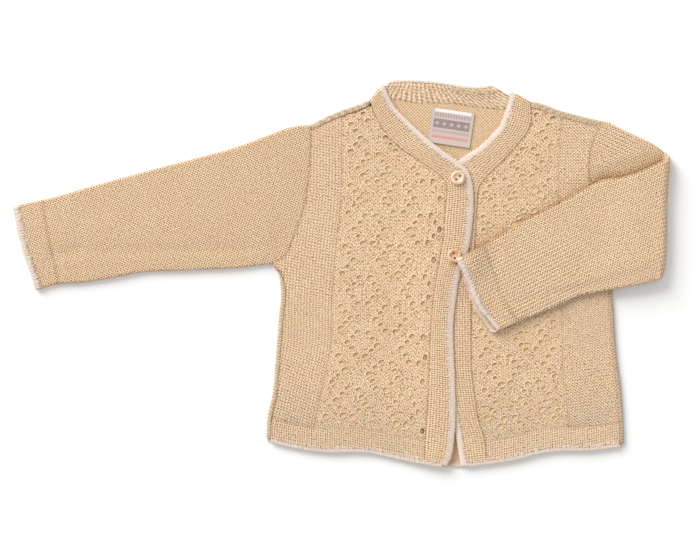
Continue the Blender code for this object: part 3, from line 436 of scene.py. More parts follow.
FULL_DIAMOND = DIAMOND + [(8.0, 5.6), (8.0, -5.2)]
SMALL_EYELET = 0.84  # size of the two extra eyelets on each side of a diamond, as a share
HOLE_MARGIN = 3.2  # from an eyelet's middle to the front's outline
FIRST_HOLE_IN = 1.5  # from the lace's outer edge to the nearest eyelet's middle
EYELET_TILT = 0.5  # the most by which an eyelet leans, in radians
DRAWN_FROM, DRAWN_TO = 60.0, 78.0  # distances inwards, beside the band, where eyelets are drawn tall
DRAWN_WIDE, DRAWN_TALL = 1.9, 2.8  # half the size of an eyelet there
RIM_RISE, RIM_AT, RIM_SPREAD = 0.22, 0.6, 0.5  # the raised yarn round an eyelet
EYELET_YARN_OUT, EYELET_YARN_RADIUS = 0.42, 0.34
HEM_GROOVE, HEM_GROOVE_DEPTH = 19.0, 0.4  # height above the lower outline, and depth
LACE_GROOVE_DEPTH = 0.3  # of the seam line between the lace and the plain side
CUFF_GROOVE = 24.0  # from the cuff's edge
LACE_WALL = 0.5  # the fronts, whose upper face is where the solid has it
BACK_LIFT = 1.55  # how much nearer to the fronts the back lies beneath their lace
EDGE_PRESS, EDGE_PRESS_WIDTH = 0.9, 7.0  # how flat the returned sleeve's lower edge is, and how far in
PUFF = 0.3  # how much a diamond's middle stands above the chains of eyelets
SEAM_DIP, SEAM_DIP_WIDTH = 0.14, 0.8  # how the cloth turns down towards a seam
BAND_CROWN = 0.2  # how much a band's middle stands above its edges
EDGE_DROOP = 0.5  # how far the front edging's outer side hangs down
DROOP_ROWS = 12  # over how many rows before the fold this ends
THREAD_RADIUS = 0.28
SLEEVE_FLAT_STEPS, SLEEVE_TURN_STEPS = 58, 7  # points across a sleeve's layer, and round each of its edges
CUFF_FLAT_STEPS, CUFF_TURN_STEPS = 48, 6
LEFT_OUT_RINGS, FOLD_RINGS = 30, 16  # rings before the left sleeve's fold, and round it
CUFF_RINGS = 5  # of a cuff's edging
SLIP_FROM = 0.75  # share of the returned sleeve from which its layers slip apart
PRESS_ENDS_FROM, PRESS_ENDS_TO = 0.86, 0.95  # shares between which its pressed edge ends
RIGHT_WALES, CUFF_WALES = 20.3, 20.0  # the way of the wales in plan, in degrees
LEFT_OUT_WALES, LEFT_BACK_WALES = -26.0, 206.0  # the same before and after the left sleeve's fold

# Soft troughs in the cloth, or ridges where the depth is negative. Columns: x, y, x, y, width, depth.
CREASES = {
    "sleeve_right": [
        (-308.0, 17.0, -134.0, 21.0, 4.5, 0.55), (-320.0, 14.0, -290.0, 20.0, 7.0, 0.85),
        (-300.0, 50.0, -180.0, 62.0, 9.0, 0.2), (-146.0, 96.0, -128.0, 30.0, 6.0, 0.3),
    ],
    "sleeve_left": [
        (62.0, -22.0, 176.0, 6.5, 3.8, 0.5), (48.0, -26.0, 74.0, -18.0, 6.5, 0.5),
        (60.0, 34.0, 150.0, 62.0, 8.0, 0.2), (100.0, 4.0, 160.0, 44.0, 7.0, 0.2),
    ],
    "shoulder_left": [(112.0, 74.0, 178.0, 97.0, 5.5, 0.95), (140.0, 108.0, 166.0, 96.0, 9.0, 0.25)],
    "right": [
        (-132.0, -118.0, -100.0, -124.0, 5.0, 0.35), (-112.0, 60.0, -104.0, -60.0, 5.0, 0.12),
        (-120.0, 6.0, -100.0, -30.0, 7.0, 0.2),
    ],
    "left": [
        (20.0, 22.0, 124.0, 80.0, 5.0, 0.45), (104.0, -122.0, 134.0, -114.0, 5.0, 0.35),
        (120.0, -40.0, 122.0, -110.0, 4.0, 0.2),
    ],
}


def bending(x, y):
    """The cloth's slight unevenness, about a quarter of a millimetre either way."""
    slow = np.sin(x / 17.0 + 1.4 * np.sin(y / 29.0)) + np.sin(y / 14.0 + 1.1 * np.sin(x / 23.0))
    return 0.07 * slow + 0.05 * np.sin(x / 7.3 + y / 9.1)


def creased(x, y, rows):
    """Height that the creases of a table take from the cloth."""
    drop = np.zeros(np.shape(x))
    for x1, y1, x2, y2, width, depth in rows:
        along = np.array((x2 - x1, y2 - y1))
        size = along @ along
        share = ((x - x1) * along[0] + (y - y1) * along[1]) / size
        near = np.clip(share, 0.0, 1.0)
        away = np.hypot(x - x1 - near * along[0], y - y1 - near * along[1])
        ends = ease(share, -0.05, 0.2) * (1.0 - ease(share, 0.8, 1.05))
        drop += depth * ends * np.exp(-((away / width) ** 2))
    return drop


def groove(distance, width, depth):
    """A narrow dip where a distance is near zero."""
    return depth * np.exp(-((distance / width) ** 2))


def display(red, green, blue):
    """Linear colour from display values of 0 to 255."""
    shares = [value / 255 for value in (red, green, blue)]
    return tuple(v / 12.92 if v < 11 / 255 else ((v + 0.055) / 1.055) ** 2.4 for v in shares)


# Finishes

WHITE = (1.0, 1.0, 1.0)


class Wires:
    """Short ways to add nodes to a tree and join them.

    A value is a number, a colour or another node's socket.
    """

    def __init__(self, tree):
        self.tree = tree

    def put(self, socket, value):
        """Joins a socket to another one, or sets it. A colour of three numbers is opaque."""
        if isinstance(value, bpy.types.NodeSocket):
            self.tree.links.new(value, socket)
        elif socket.type == "RGBA":
            socket.default_value = (*value, 1.0)
        else:
            socket.default_value = value

    def fill(self, node, values):
        """Puts values into the inputs of a node, by name or number."""
        for key, value in dict(values).items():
            self.put(node.inputs[key], value)
        return node.outputs

    def add(self, kind, inputs=(), **settings):
        """The outputs of a new node, with its settings and inputs."""
        node = self.tree.nodes.new("ShaderNode" + kind)
        for key, value in settings.items():
            setattr(node, key, value)
        return self.fill(node, inputs)

    def math(self, operation, *values):
        """The result of a sum, by its name."""
        return self.add("Math", enumerate(values), operation=operation)[0]

    def plus(self, first, second):
        return self.math("ADD", first, second)

    def minus(self, first, second):
        return self.math("SUBTRACT", first, second)

    def times(self, first, second):
        return self.math("MULTIPLY", first, second)

    def times_plus(self, value, factor, more):
        return self.math("MULTIPLY_ADD", value, factor, more)

    def size(self, value):
        return self.math("ABSOLUTE", value)

    def wave(self, kind, value, pitch=1.0):
        """A sine or cosine that repeats after each pitch."""
        return self.math(kind, self.times(value, 2 * math.pi / pitch))

    def vector(self, operation, first, second):
        return self.add("VectorMath", {0: first, 1: second}, operation=operation)[0]

    def scaled(self, vector, scale):
        return self.add("VectorMath", {0: vector, "Scale": scale}, operation="SCALE")[0]

    def range(self, value, start, end, low=0.0, high=1.0):
        """Low before start and high after end, with a smooth change between them."""
        inputs = enumerate((value, start, end, low, high))
        return self.add("MapRange", inputs, interpolation_type="SMOOTHSTEP")[0]

    def mixed(self, share, first, second):
        """Two colours mixed."""
        return self.add("Mix", {0: share, 6: first, 7: second}, data_type="RGBA")[2]

    def blended(self, share, first, second):
        """Two numbers mixed."""
        return self.add("Mix", {0: share, 2: first, 3: second}, data_type="FLOAT")[0]

    def tinted(self, color, share, tint):
        """A colour, multiplied by a tint where share is 1."""
        return self.vector("MULTIPLY", color, self.mixed(share, WHITE, tint))

    def noise(self, place, scale, detail=2.0):
        return self.add("TexNoise", {"Vector": place, "Scale": scale, "Detail": detail})["Fac"]

    def drift(self, place, scale, detail):
        """A vector that changes slowly from place to place, about half a unit either way."""
        color = self.add("TexNoise", {"Vector": place, "Scale": scale, "Detail": detail})["Color"]
        return self.vector("SUBTRACT", color, (0.5, 0.5, 0.5))

    def split(self, vector):
        return self.add("SeparateXYZ", {0: vector})

    def mark(self, name):
        """A number that the mesh holds for each of its points."""
        return self.add("Attribute", attribute_name=name)["Fac"]

    def group(self, group, **inputs):
        """The outputs of a group placed in this tree."""
        node = self.tree.nodes.new("ShaderNodeGroup")
        node.node_tree = group
        return self.fill(node, inputs)


def new_group(name, inputs, outputs):
    """A node group with named sockets. Inputs and outputs are rows of name, kind, and perhaps a default."""
    group = bpy.data.node_groups.new(name, "ShaderNodeTree")
    for rows, side in ((inputs, "INPUT"), (outputs, "OUTPUT")):
        for row in rows:
            socket = group.interface.new_socket(row[0], in_out=side, socket_type="NodeSocket" + row[1])
            if len(row) > 2:
                socket.default_value = row[2]
    given = group.nodes.new("NodeGroupInput")
    result = group.nodes.new("NodeGroupOutput")
    return group, Wires(group), given.outputs, result


def loosened(wires, place, loose):
    """The cloth's place, shifted as loose yarn lets its stitches wander."""
    moved = place
    for scale, detail, reach in ((0.2, 2.0, 5.0), (0.55, 1.0, 3.0)):
        drift = wires.drift(place, scale, detail)
        moved = wires.vector("ADD", moved, wires.scaled(drift, wires.times(loose, reach)))
    return moved


def stitch_legs(wires, given):
    """How far a point lies across a wale, how close to the middle of a leg, and the swing of its rows."""
    across, up, _ = wires.split(loosened(wires, given["Place"], given["Loose"]))
    wale = wires.math("DIVIDE", across, given["Wale"])
    leg = wires.times(wires.math("PINGPONG", wale, 0.5), 2.0)
    leg = wires.blended(given["Twill"], leg, wires.math("FRACT", wale))
    course = wires.times_plus(wale, given["Skew"], wires.math("DIVIDE", up, given["Course"]))
    swing = wires.wave("COSINE", wires.minus(course, wires.times(leg, given["Lean"])))
    strand = wires.math("MAXIMUM", wires.math("SINE", wires.times(leg, math.pi)), 0.0)
    return wale, strand, swing


def knit_stitches_group():
    """Columns of knit stitches on a cloth's own millimetres: how high the yarn stands, its tone and its gaps.

    Wale and Course are the stitch's width and height. Lean is how far the middle of a stitch hangs down, as
    a share of its height, Skew how far the courses drop across a wale, and Rib how much each other column
    sinks. Twill makes both legs of a stitch lean one way. Row and Cord are how plain the rows and the columns
    show, and Net how deep the small holes of a loose net are. Tone sets where the colour takes a painted
    highlight on the loops, partly at random, and Gap where it takes painted shade between the yarns.
    """
    group, wires, given, result = new_group(
        "knit_stitches",
        [("Place", "Vector"), ("Wale", "Float", 1.9), ("Course", "Float", 1.7), ("Lean", "Float", 0.5),
         ("Skew", "Float", 0.0), ("Open", "Float", 0.5), ("Loose", "Float", 0.2), ("Rib", "Float", 0.0),
         ("Twill", "Float", 0.0), ("Row", "Float", 1.0), ("Cord", "Float", 0.0), ("Net", "Float", 0.0)],
        [("Height", "Float"), ("Tone", "Float"), ("Gap", "Float")],
    )
    wale, strand, swing = stitch_legs(wires, given)
    between = wires.minus(1.0, wires.times(strand, strand))
    sunk = wires.wave("COSINE", wires.minus(wale, 0.25))
    ribbed = wires.times(sunk, given["Rib"])
    sunk = wires.times(wires.times_plus(sunk, -0.5, 0.5), given["Rib"])
    crests = wires.times_plus(wires.times_plus(swing, 0.5, 0.5), 0.55, 0.45)
    height = wires.times(wires.math("POWER", strand, 0.8), crests)
    height = wires.times(height, wires.minus(1.0, sunk))
    rows = wires.times(wires.times(swing, wires.times_plus(between, 0.72, 0.28)), given["Row"])
    columns = wires.times(wires.minus(0.5, between), given["Cord"])
    tone = wires.plus(wires.times_plus(rows, 0.5, 0.5), columns)
    tone = wires.times_plus(ribbed, 0.18, tone)
    cells = wires.add("TexVoronoi", {"Vector": given["Place"], "Scale": 0.4, "Randomness": 0.75})["Distance"]
    tone = wires.minus(tone, wires.times(wires.range(cells, 0.1, 0.42, 1.0, 0.0), given["Net"]))
    tone = wires.times_plus(wires.minus(wires.noise(given["Place"], 0.7, 1.0), 0.5), 0.9, tone)
    edge = wires.times(given["Open"], 0.5)
    gap = wires.range(tone, wires.minus(edge, 0.14), wires.plus(edge, 0.14), 1.0, 0.0)
    wires.fill(result, {"Height": height, "Tone": tone, "Gap": gap})
    return group


def yarn_tint_group():
    """The yarn's uneven colour over the stitches: pale with a painted highlight on the loops, dark with
    painted shade in the gaps, and brown along seams, with painted shade along creases and edges.
    """
    group, wires, given, result = new_group(
        "yarn_tint",
        [("Place", "Vector"), ("Tone", "Float", 1.0), ("Gap", "Float", 0.0), ("Seam", "Float", 0.0),
         ("Pale", "Color"), ("Body", "Color"), ("Deep", "Color"), ("Bold", "Float", 1.0)],
        [("Color", "Color"), ("Roughness", "Float")],
    )
    place, gap = given["Place"], given["Gap"]
    color = wires.mixed(wires.range(given["Tone"], 0.35, 1.0), given["Body"], given["Pale"])
    fine = wires.range(wires.noise(place, 0.9), 0.3, 0.7, 0.9, 1.06)
    broad = wires.range(wires.noise(place, 0.035), 0.35, 0.65)
    patch_tint = wires.mixed(broad, (1.0, 1.0, 0.985), (1.01, 0.965, 0.965))
    color = wires.scaled(wires.vector("MULTIPLY", color, patch_tint), fine)
    # painted shade in the gaps between the yarns
    color = wires.mixed(wires.times(gap, given["Bold"]), color, given["Deep"])
    dots = wires.range(wires.noise(place, 0.6, 1.0), 0.38, 0.56, 0.55, 1.0)
    # brown along sewn seams, and painted shade where the seam mark carries creases, folds and edges
    color = wires.tinted(color, wires.times(given["Seam"], dots), (0.5, 0.37, 0.24))
    rough = wires.times_plus(gap, 0.15, wires.range(fine, 0.9, 1.06, 0.8, 0.66))
    wires.fill(result, {"Color": color, "Roughness": rough})
    return group


def new_finish(name):
    """A material with its shader, and the wires to fill it in."""
    made = bpy.data.materials.new(name)
    made.use_nodes = True
    return made, Wires(made.node_tree), made.node_tree.nodes["Principled BSDF"]


def relief(wires, height, depth, strength=1.0):
    """The normal of a relief. Its depth is in millimetres."""
    return wires.add("Bump", {"Height": height, "Distance": depth * MM, "Strength": strength})[0]


def close_finish(wires, shader, color, rough, normal, sheen=0.2):
    """Joins a cloth's colour, roughness and relief to its shader."""
    wires.fill(shader, {
        "Normal": normal, "Base Color": color, "Roughness": rough, "Specular IOR Level": 0.28,
        "Sheen Weight": sheen, "Sheen Roughness": 0.45, "Sheen Tint": (1.0, 0.93, 0.85),
    })


# The yarn's colours: Body is its own, Pale a painted highlight on the loops and its random paler tone, and
# the gap colour painted shade
KNIT_COLORS = {"Pale": display(250, 226, 193), "Body": display(231, 197, 158), "Deep": display(122, 80, 46)}
# painted shade: the grey that the cloth's colour turns to at its rims
EDGE_SHADE_GREY = display(132, 112, 92)


def fabric_place(wires, turn=0.0):
    """The cloth's own millimetres, turned by an angle in degrees."""
    place = wires.add("UVMap", uv_map="fabric")[0]
    if turn:
        turned = {"Vector": place, "Angle": math.radians(turn)}
        place = wires.add("VectorRotate", turned, rotation_type="Z_AXIS")[0]
    return place


def edge_shade(wires, color, share=0.3):
    """Paints shade on the cloth where it turns away from the eye: its colour greys towards its rims."""
    facing = wires.add("LayerWeight", {"Blend": 0.5})["Facing"]
    return wires.mixed(wires.range(facing, 0.2, 0.75, 0.0, share), color, EDGE_SHADE_GREY)


def yarn_tint(wires, place, knit, seam, bold, tone=WHITE):
    """The colour and roughness of knit stitches, in yarn that is tinted by a tone."""
    colors = {name: tuple(np.array(color) * tone) for name, color in KNIT_COLORS.items()}
    return wires.group(
        GROUPS["tint"], Place=place, Tone=knit["Tone"], Gap=knit["Gap"], Seam=seam, Bold=bold, **colors
    )


def knit_finish(name, stitch, bold, tone=WHITE, turn=0.0, depth=0.4, seam=False, covered=False, ribbed=False):
    """Plain knit. The cloth's place is turned by some degrees to run with its stitches."""
    made, wires, shader = new_finish(name)
    place = fabric_place(wires, turn)
    ribs = {"Rib": wires.mark("ribbed")} if ribbed else {}
    knit = wires.group(GROUPS["stitches"], Place=place, **stitch, **ribs)
    beneath = wires.mark("covered") if covered else 0.0
    # painted light: beneath the fronts the back's gaps are painted half as dark
    if covered:
        bold = wires.blended(beneath, bold, 0.5 * bold)
    tint = yarn_tint(wires, place, knit, wires.mark("seam") if seam else 0.0, bold, tone)
    color = edge_shade(wires, tint["Color"])
    # painted light: there the back's colour is painted lighter too
    if covered:
        color = wires.tinted(color, beneath, LIGHT_BENEATH_LACE)
    close_finish(wires, shader, color, tint["Roughness"], relief(wires, knit["Height"], depth))
    return made


def front_finish(name, side_stitch, side_tone):
    """A front: loose lace knit, plain knit at the side and a close border above the hem, by its marks."""
    made, wires, shader = new_finish(name)
    place = fabric_place(wires)
    lace, border = wires.mark("lace"), wires.mark("border")
    mixed = {}
    for stitch, share in ((side_stitch, None), (LACE_STITCH, lace), (BORDER_STITCH, border)):
        knit = wires.group(GROUPS["stitches"], Place=place, **stitch)
        for key in ("Height", "Tone", "Gap"):
            mixed[key] = knit[key] if share is None else wires.blended(share, mixed[key], knit[key])
    bold = wires.blended(border, wires.blended(lace, SIDE_BOLD, LACE_BOLD), BORDER_BOLD)
    tint = yarn_tint(wires, place, mixed, wires.mark("seam"), bold)
    # painted shade: the fronts darken towards the hem
    color = wires.tinted(tint["Color"], wires.mark("low"), SHADE_NEAR_HEM)
    color = wires.vector("MULTIPLY", color, wires.mixed(lace, side_tone, WHITE))
    normal = relief(wires, mixed["Height"], 0.36)
    close_finish(wires, shader, edge_shade(wires, color), tint["Roughness"], normal)
    return made


def thread_finish(name, pale, deep, pitch=1.1):
    """Twisted thread: slanting plies, with a little fluff between them, and painted shade where they lie low.
    """
    made, wires, shader = new_finish(name)
    place = fabric_place(wires)
    across, up, _ = wires.split(place)
    ply = wires.times_plus(wires.wave("COSINE", wires.times_plus(across, 0.6, up), pitch), 0.5, 0.5)
    fluff = wires.noise(place, 1.7, 3.0)
    height = wires.times_plus(ply, 0.35, wires.times(fluff, 0.9))
    # painted shade: the colour darkens where the plies and the fluff lie low, partly at random
    color = edge_shade(wires, wires.mixed(wires.range(height, 0.15, 0.75), deep, pale), 0.45)
    rough = wires.range(fluff, 0.3, 0.7, 0.7, 0.9)
    close_finish(wires, shader, color, rough, relief(wires, height, 0.25, 0.8), 0.35)
    return made


def pearl_finish(name, deep, pale):
    """A button's pearly resin, with faint clouds in it."""
    made, wires, shader = new_finish(name)
    place = wires.scaled(wires.add("TexCoord")["Object"], 1 / MM)
    cloud = wires.noise(wires.vector("MULTIPLY", place, (1.0, 0.35, 1.0)), 0.5, 3.0)
    grain = wires.noise(place, 3.0)
    wires.fill(shader, {
        "Normal": relief(wires, wires.plus(cloud, grain), 0.02, 0.4),
        "Base Color": wires.mixed(wires.range(cloud, 0.35, 0.65), deep, pale),
        "Roughness": wires.range(grain, 0.3, 0.7, 0.2, 0.34),
        "Specular IOR Level": 0.55, "Coat Weight": 0.4, "Coat Roughness": 0.12,
    })
    return made


def label_marks(wires, across, up):
    """The label's woven marks, and a painted highlight along its top: how plain each is from place to place,
    and its colour.
    """
    inside = wires.range(wires.size(across), LABEL_WIDTH / 2 - 2.6, LABEL_WIDTH / 2 - 2.2, 1.0, 0.0)

    def rule(height, half):
        """A rule across the label, from its middle height and half its own."""
        away = wires.size(wires.minus(up, height))
        return wires.times(wires.range(away, half - 0.2, half + 0.2, 1.0, 0.0), inside)

    def dashes(half_pitch, start, end):
        """Gaps along a rule."""
        return wires.range(wires.math("PINGPONG", across, half_pitch), start, end)

    slant = wires.times(wires.math("PINGPONG", across, 2.9), 0.9)
    lozenge = wires.range(wires.plus(wires.size(wires.minus(up, 2.2)), slant), 1.5, 1.9, 1.0, 0.0)
    band = wires.times(rule(2.2, 3.6), wires.minus(1.0, wires.times(lozenge, 0.75)))
    return (
        # painted highlight: a near-white strip along the label's top, where the satin catches the light
        (rule(12.6, 1.3), 0.8, display(252, 248, 244)),
        (rule(-4.0, 1.2), 0.55, display(176, 166, 168)),
        (band, 0.9, display(146, 134, 132)),
        (wires.times(rule(9.0, 1.5), dashes(1.1, 0.35, 0.6)), 0.7, display(150, 142, 146)),
        (wires.times(rule(-8.6, 1.1), dashes(0.9, 0.1, 0.4)), 0.75, display(226, 120, 108)),
    )


def label_finish():
    """White woven satin with a grey band, plain rules, a row of lozenges and a painted highlight along its
    top.
    """
    made, wires, shader = new_finish("label_satin")
    place = fabric_place(wires)
    across, up, _ = wires.split(place)
    weave = wires.times(wires.wave("SINE", across, 0.35), 0.15)
    height = wires.times_plus(wires.wave("SINE", up, 0.42), 0.3, weave)
    fleck = wires.noise(place, 1.4)
    color = wires.mixed(fleck, display(199, 178, 168), display(221, 202, 192))
    for mask, share, woven in label_marks(wires, across, up):
        color = wires.mixed(wires.times(mask, share), color, woven)
    rough = wires.range(fleck, 0.3, 0.7, 0.36, 0.5)
    close_finish(wires, shader, color, rough, relief(wires, height, 0.06, 0.6), 0.1)
    return made


def floor_finish():
    """A plain white table top with a very fine grain."""
    made, wires, shader = new_finish("white_table")
    grain = wires.noise(wires.add("TexCoord")["Object"], 60.0)
    color = wires.mixed(grain, (TABLE_TONE - 0.005,) * 3, (TABLE_TONE + 0.005,) * 3)
    wires.fill(shader, {"Base Color": color, "Roughness": 0.9, "Specular IOR Level": 0.1})
    return made


# Stitches, in millimetres
SLEEVE_STITCH = {"Wale": 2.96, "Course": 2.33, "Lean": 0.85, "Open": 0.62, "Loose": 0.12}
SIDE_RIGHT_STITCH = {
    "Wale": 2.46, "Course": 2.28, "Lean": -0.5, "Skew": 0.217, "Open": 0.55, "Loose": 0.3,
    "Twill": 1.0, "Cord": 0.06, "Net": 0.15,
}
SIDE_LEFT_STITCH = {"Wale": 2.68, "Course": 2.35, "Lean": 0.6, "Open": 0.55, "Loose": 0.3, "Net": 0.15}
LACE_STITCH = {"Wale": 3.3, "Course": 2.7, "Lean": 0.6, "Open": 0.52, "Loose": 0.6, "Row": 0.8, "Net": 0.55}
BORDER_STITCH = {
    "Wale": 3.68, "Course": 2.0, "Lean": 0.0, "Skew": 0.1, "Open": 0.55, "Loose": 0.2,
    "Rib": 0.3, "Row": 0.4, "Cord": 0.35, "Net": 0.15,
}
BAND_STITCH = {
    "Wale": 4.3, "Course": 1.73, "Lean": 0.0, "Open": 0.66, "Loose": 0.25,
    "Row": 0.8, "Cord": 0.18, "Net": 0.15,
}
INSIDE_STITCH = {"Wale": 3.54, "Course": 1.77, "Lean": 0.0, "Open": 0.5, "Loose": 0.2, "Row": 0.7}
LOOPED_STITCH = {
    "Wale": 7.4, "Course": 3.0, "Lean": 0.0, "Skew": -0.4, "Open": 0.6, "Loose": 0.7,
    "Row": 0.45, "Cord": 0.6,
}
SIDE_BOLD, LACE_BOLD, BORDER_BOLD = 0.87, 0.68, 0.95  # how dark the painted shade in the gaps between the yarns is
SHADE_NEAR_HEM = (0.9, 0.92, 0.95)  # painted shade: how much darker the fronts' colour is painted towards the hem, where the light falls off
LIGHT_BENEATH_LACE = (1.13, 1.12, 1.0)  # painted light: how much lighter the back's colour is painted beneath the lace, for light that comes through the loose knit

# Meshes

THREAD_SIDES = 5  # of a thread's tube
THREAD_PITCH, THREAD_LIFT = 0.95, 0.3  # between sewn threads, and how high they stand
# A sewn thread's way over the edging. Columns: share of the way, and how high it stands there, as a share.
THREAD_WAY = [(0.0, 1.0), (0.2, 1.6), (0.4, 0.9), (0.62, 0.5), (0.86, 0.3), (1.0, -0.6)]
EYELET_POINTS = 14  # round an eyelet
BAND_COLUMNS, EDGING_COLUMNS, HEM_COLUMNS = 20, 6, 5  # points across a strip
NECKBAND_BACK_COLUMNS, NECKBAND_BACK_ROWS = 22, 150  # points across the neckband's back and along it
NECK_EDGING_COLUMNS, NECK_EDGING_ROWS = 4, 80
BUTTON_STEPS, BUTTON_HOLE_STEPS = 64, 24  # round a button and round one of its holes
TAPE_WALL = TRIM_WALL - 0.3  # the edging's tape, without the thread over it
FIRST_MIDDLE = SLEEVE_FLAT_STEPS // 2  # the step in the middle of a sleeve ring's first layer
SECOND_MIDDLE = SLEEVE_FLAT_STEPS + SLEEVE_TURN_STEPS + FIRST_MIDDLE  # and of its second one


def linked(name, data):
    """A new object in the scene."""
    obj = bpy.data.objects.new(name, data)
    bpy.context.scene.collection.objects.link(obj)
    return obj


def new_piece(name, points, faces, place, finishes):
    """A mesh piece from points in millimetres. Place is where each face corner lies on the cloth."""
    mesh = bpy.data.meshes.new(name)
    points = np.asarray(points, float).reshape(-1, 3) * MM
    mesh.from_pydata(points.tolist(), [], [list(map(int, f)) for f in faces])
    mesh.uv_layers.new(name="fabric").data.foreach_set("uv", np.asarray(place, np.float32).ravel())
    mesh.shade_smooth()
    for finish in finishes:
        mesh.materials.append(finish)
    return linked(name, mesh)


def made_from(work, name, finishes, middle):
    """An object made from a bmesh, with its middle in millimetres."""
    mesh = bpy.data.meshes.new(name)
    work.to_mesh(mesh)
    work.free()
    for finish in finishes:
        mesh.materials.append(finish)
    obj = linked(name, mesh)
    obj.location = [value * MM for value in middle]
    return obj


def thicken(obj, wall, other_side=0, soft=None):
    """Makes a surface into cloth, half to each side of it. Its rims are crisp, but for soft points."""
    mesh = obj.data
    of_corner, ends = np.empty(len(mesh.loops), np.int32), np.empty(2 * len(mesh.edges), np.int32)
    mesh.loops.foreach_get("edge_index", of_corner)
    mesh.edges.foreach_get("vertices", ends)
    crisp = np.bincount(of_corner, minlength=len(mesh.edges)) == 1
    if soft is not None:
        crisp &= ~np.asarray(soft)[ends.reshape(-1, 2)].any(1)
    mesh.attributes.new("sharp_edge", "BOOLEAN", "EDGE").data.foreach_set("value", crisp)
    shell = obj.modifiers.new("cloth_wall", "SOLIDIFY")
    shell.thickness = wall * MM
    shell.offset = 0.0
    shell.material_offset = other_side
    return obj


def mark(obj, **marks):
    """Numbers for each point of a mesh, which its finish reads by their names."""
    for name, values in marks.items():
        data = obj.data.attributes.new(name, "FLOAT", "POINT").data
        data.foreach_set("value", np.asarray(values, np.float32).ravel())


def grid_faces(columns, rows, tube):
    """The four-sided faces of a grid, closed round its columns for a tube."""
    number = np.arange(columns * rows).reshape(columns, rows)
    after = np.roll(number, -1, 0) if tube else number[1:]
    before = number if tube else number[:-1]
    return np.stack([before[:, :-1], after[:, :-1], after[:, 1:], before[:, 1:]], -1).reshape(-1, 4)


def grid_cloth(name, grid, place, wall, finishes, tube=False, other_side=0):
    """Cloth on a grid of middle points, with the place of each on the flat cloth.

    A tube's place has one more column.
    """
    faces = grid_faces(*grid.shape[:2], tube)
    corners = np.stack([place[:-1, :-1], place[1:, :-1], place[1:, 1:], place[:-1, 1:]], 2)
    return thicken(new_piece(name, grid, faces, corners, finishes), wall, other_side)


def settle(obj, *nodes, slot="knit"):
    """A piece that stands for CAD nodes, which it hides, and rides with the garment. Its slot is not used."""
    if nodes:
        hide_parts(*nodes)
    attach(obj, "root")
    return obj


def run_of(points):
    """Length along a row of points, from its start."""
    return np.concatenate([[0.0], np.cumsum(np.linalg.norm(np.diff(points, axis=0), axis=1))])


def off_curve(points, curve, count):
    """Distance from plan points to the nearest of some points of a curve."""
    marks = curve.at(np.linspace(0.0, 1.0, count))
    return np.sqrt(((points[:, None] - marks[None]) ** 2).sum(-1)).min(1)


def level(height):
    """The same height everywhere, for a strip that lies on the floor."""
    return lambda x: np.full_like(x, height)


# The back


def roll_rows(roll, steps=8):
    """The back's edge strip, from the panel out to its lip.

    Columns: distance from the outline if flat, the same if rolled, and height above the panel if rolled.
    """
    radius = (FRONT_MID - BACK_MID) / 2
    rows = [(4.4 + roll / 2, 4.4 + roll / 2, 0.0)]
    for share in np.linspace(0.0, 1.0, steps + 1):
        angle = math.pi * share
        rows.append((3.4 - 2.4 * share, ROLL - math.sin(angle) * radius, radius * (1 - math.cos(angle))))
    return np.array(rows + [(SEAM / 2, roll + NEAR, 2.0 * radius)])


def back_top(lines):
    """The back's top edge, and the shares of it where its shoulders end and where the neck's curve does."""
    right, neck, left = lines["shoulder_right"], smooth(BACK_NECK), lines["shoulder_left"].turned_round()
    top = Curve(np.vstack([right.points, neck.points, left.points]))
    shoulders = right.length / top.length, 1.0 - left.length / top.length
    dip_right = np.linalg.norm(neck.points[0] - right.points[-1]) / top.length
    dip_left = np.linalg.norm(neck.points[-1] - left.points[0]) / top.length
    return top, shoulders, (shoulders[0] + dip_right, shoulders[1] - dip_left)


def back_shares(shoulders, neck, side_rows, top_rows, height):
    """Shares across the back and up it, close together along its rolled edges."""
    near, top = side_rows[:, 0] / BACK_WIDTH, 1 - top_rows[:, 0] / height
    across = [
        near[::-1],
        np.linspace(near[0], shoulders[0] - CORNER, BACK_SHOULDER_COLUMNS)[1:],
        np.linspace(*neck, BACK_NECK_COLUMNS),
        np.linspace(shoulders[1] + CORNER, 1 - near[0], BACK_SHOULDER_COLUMNS)[:-1],
        1 - near,
    ]
    return np.concatenate(across), np.concatenate([np.linspace(0.0, top[0], BACK_ROWS)[:-1], top])


def roll_sides(grid, up, rows):
    """Rolls the back's side edges over to the front."""
    for side in CUT:
        rolled = side_roll(up, underarm_share(side))
        for k, (flat, curled, lift) in enumerate(rows):
            column = len(rows) - 1 - k if side == "right" else k - len(rows)
            grid[column, :, 0] -= OUTWARD[side] * (curled - flat) * rolled
            grid[column, :, 2] += lift * rolled**2


def lift_beneath_fronts(grid, plan, lines):
    """Lifts the back to lie close beneath the fronts' lace. It returns how far they cover each point."""
    covered = np.zeros(plan.shape[:2])
    for side, middle in FRONT_MIDDLE.items():
        rim, _ = front_rim(lines, side)
        under = ease(inside_by(plan.reshape(-1, 2), rim), 0.3, 4.0).reshape(plan.shape[:2])
        grid[..., 2] += under * (BACK_LIFT + 0.85 * (middle(plan[..., 0]) - FRONT_MID))
        covered = np.maximum(covered, under)
    return covered


def roll_shoulders(grid, plan, over, rows):
    """Rolls the back's shoulder edges over to the front, as far as over says for each column."""
    first = plan.shape[1] - len(rows)
    down = plan[:, first] - plan[:, -1]
    down /= np.linalg.norm(down, axis=1)[:, None]
    for k, (flat, curled, lift) in enumerate(rows):
        grid[:, first + k, :2] += down * ((curled - flat) * over)[:, None]
        grid[:, first + k, 2] += lift * over


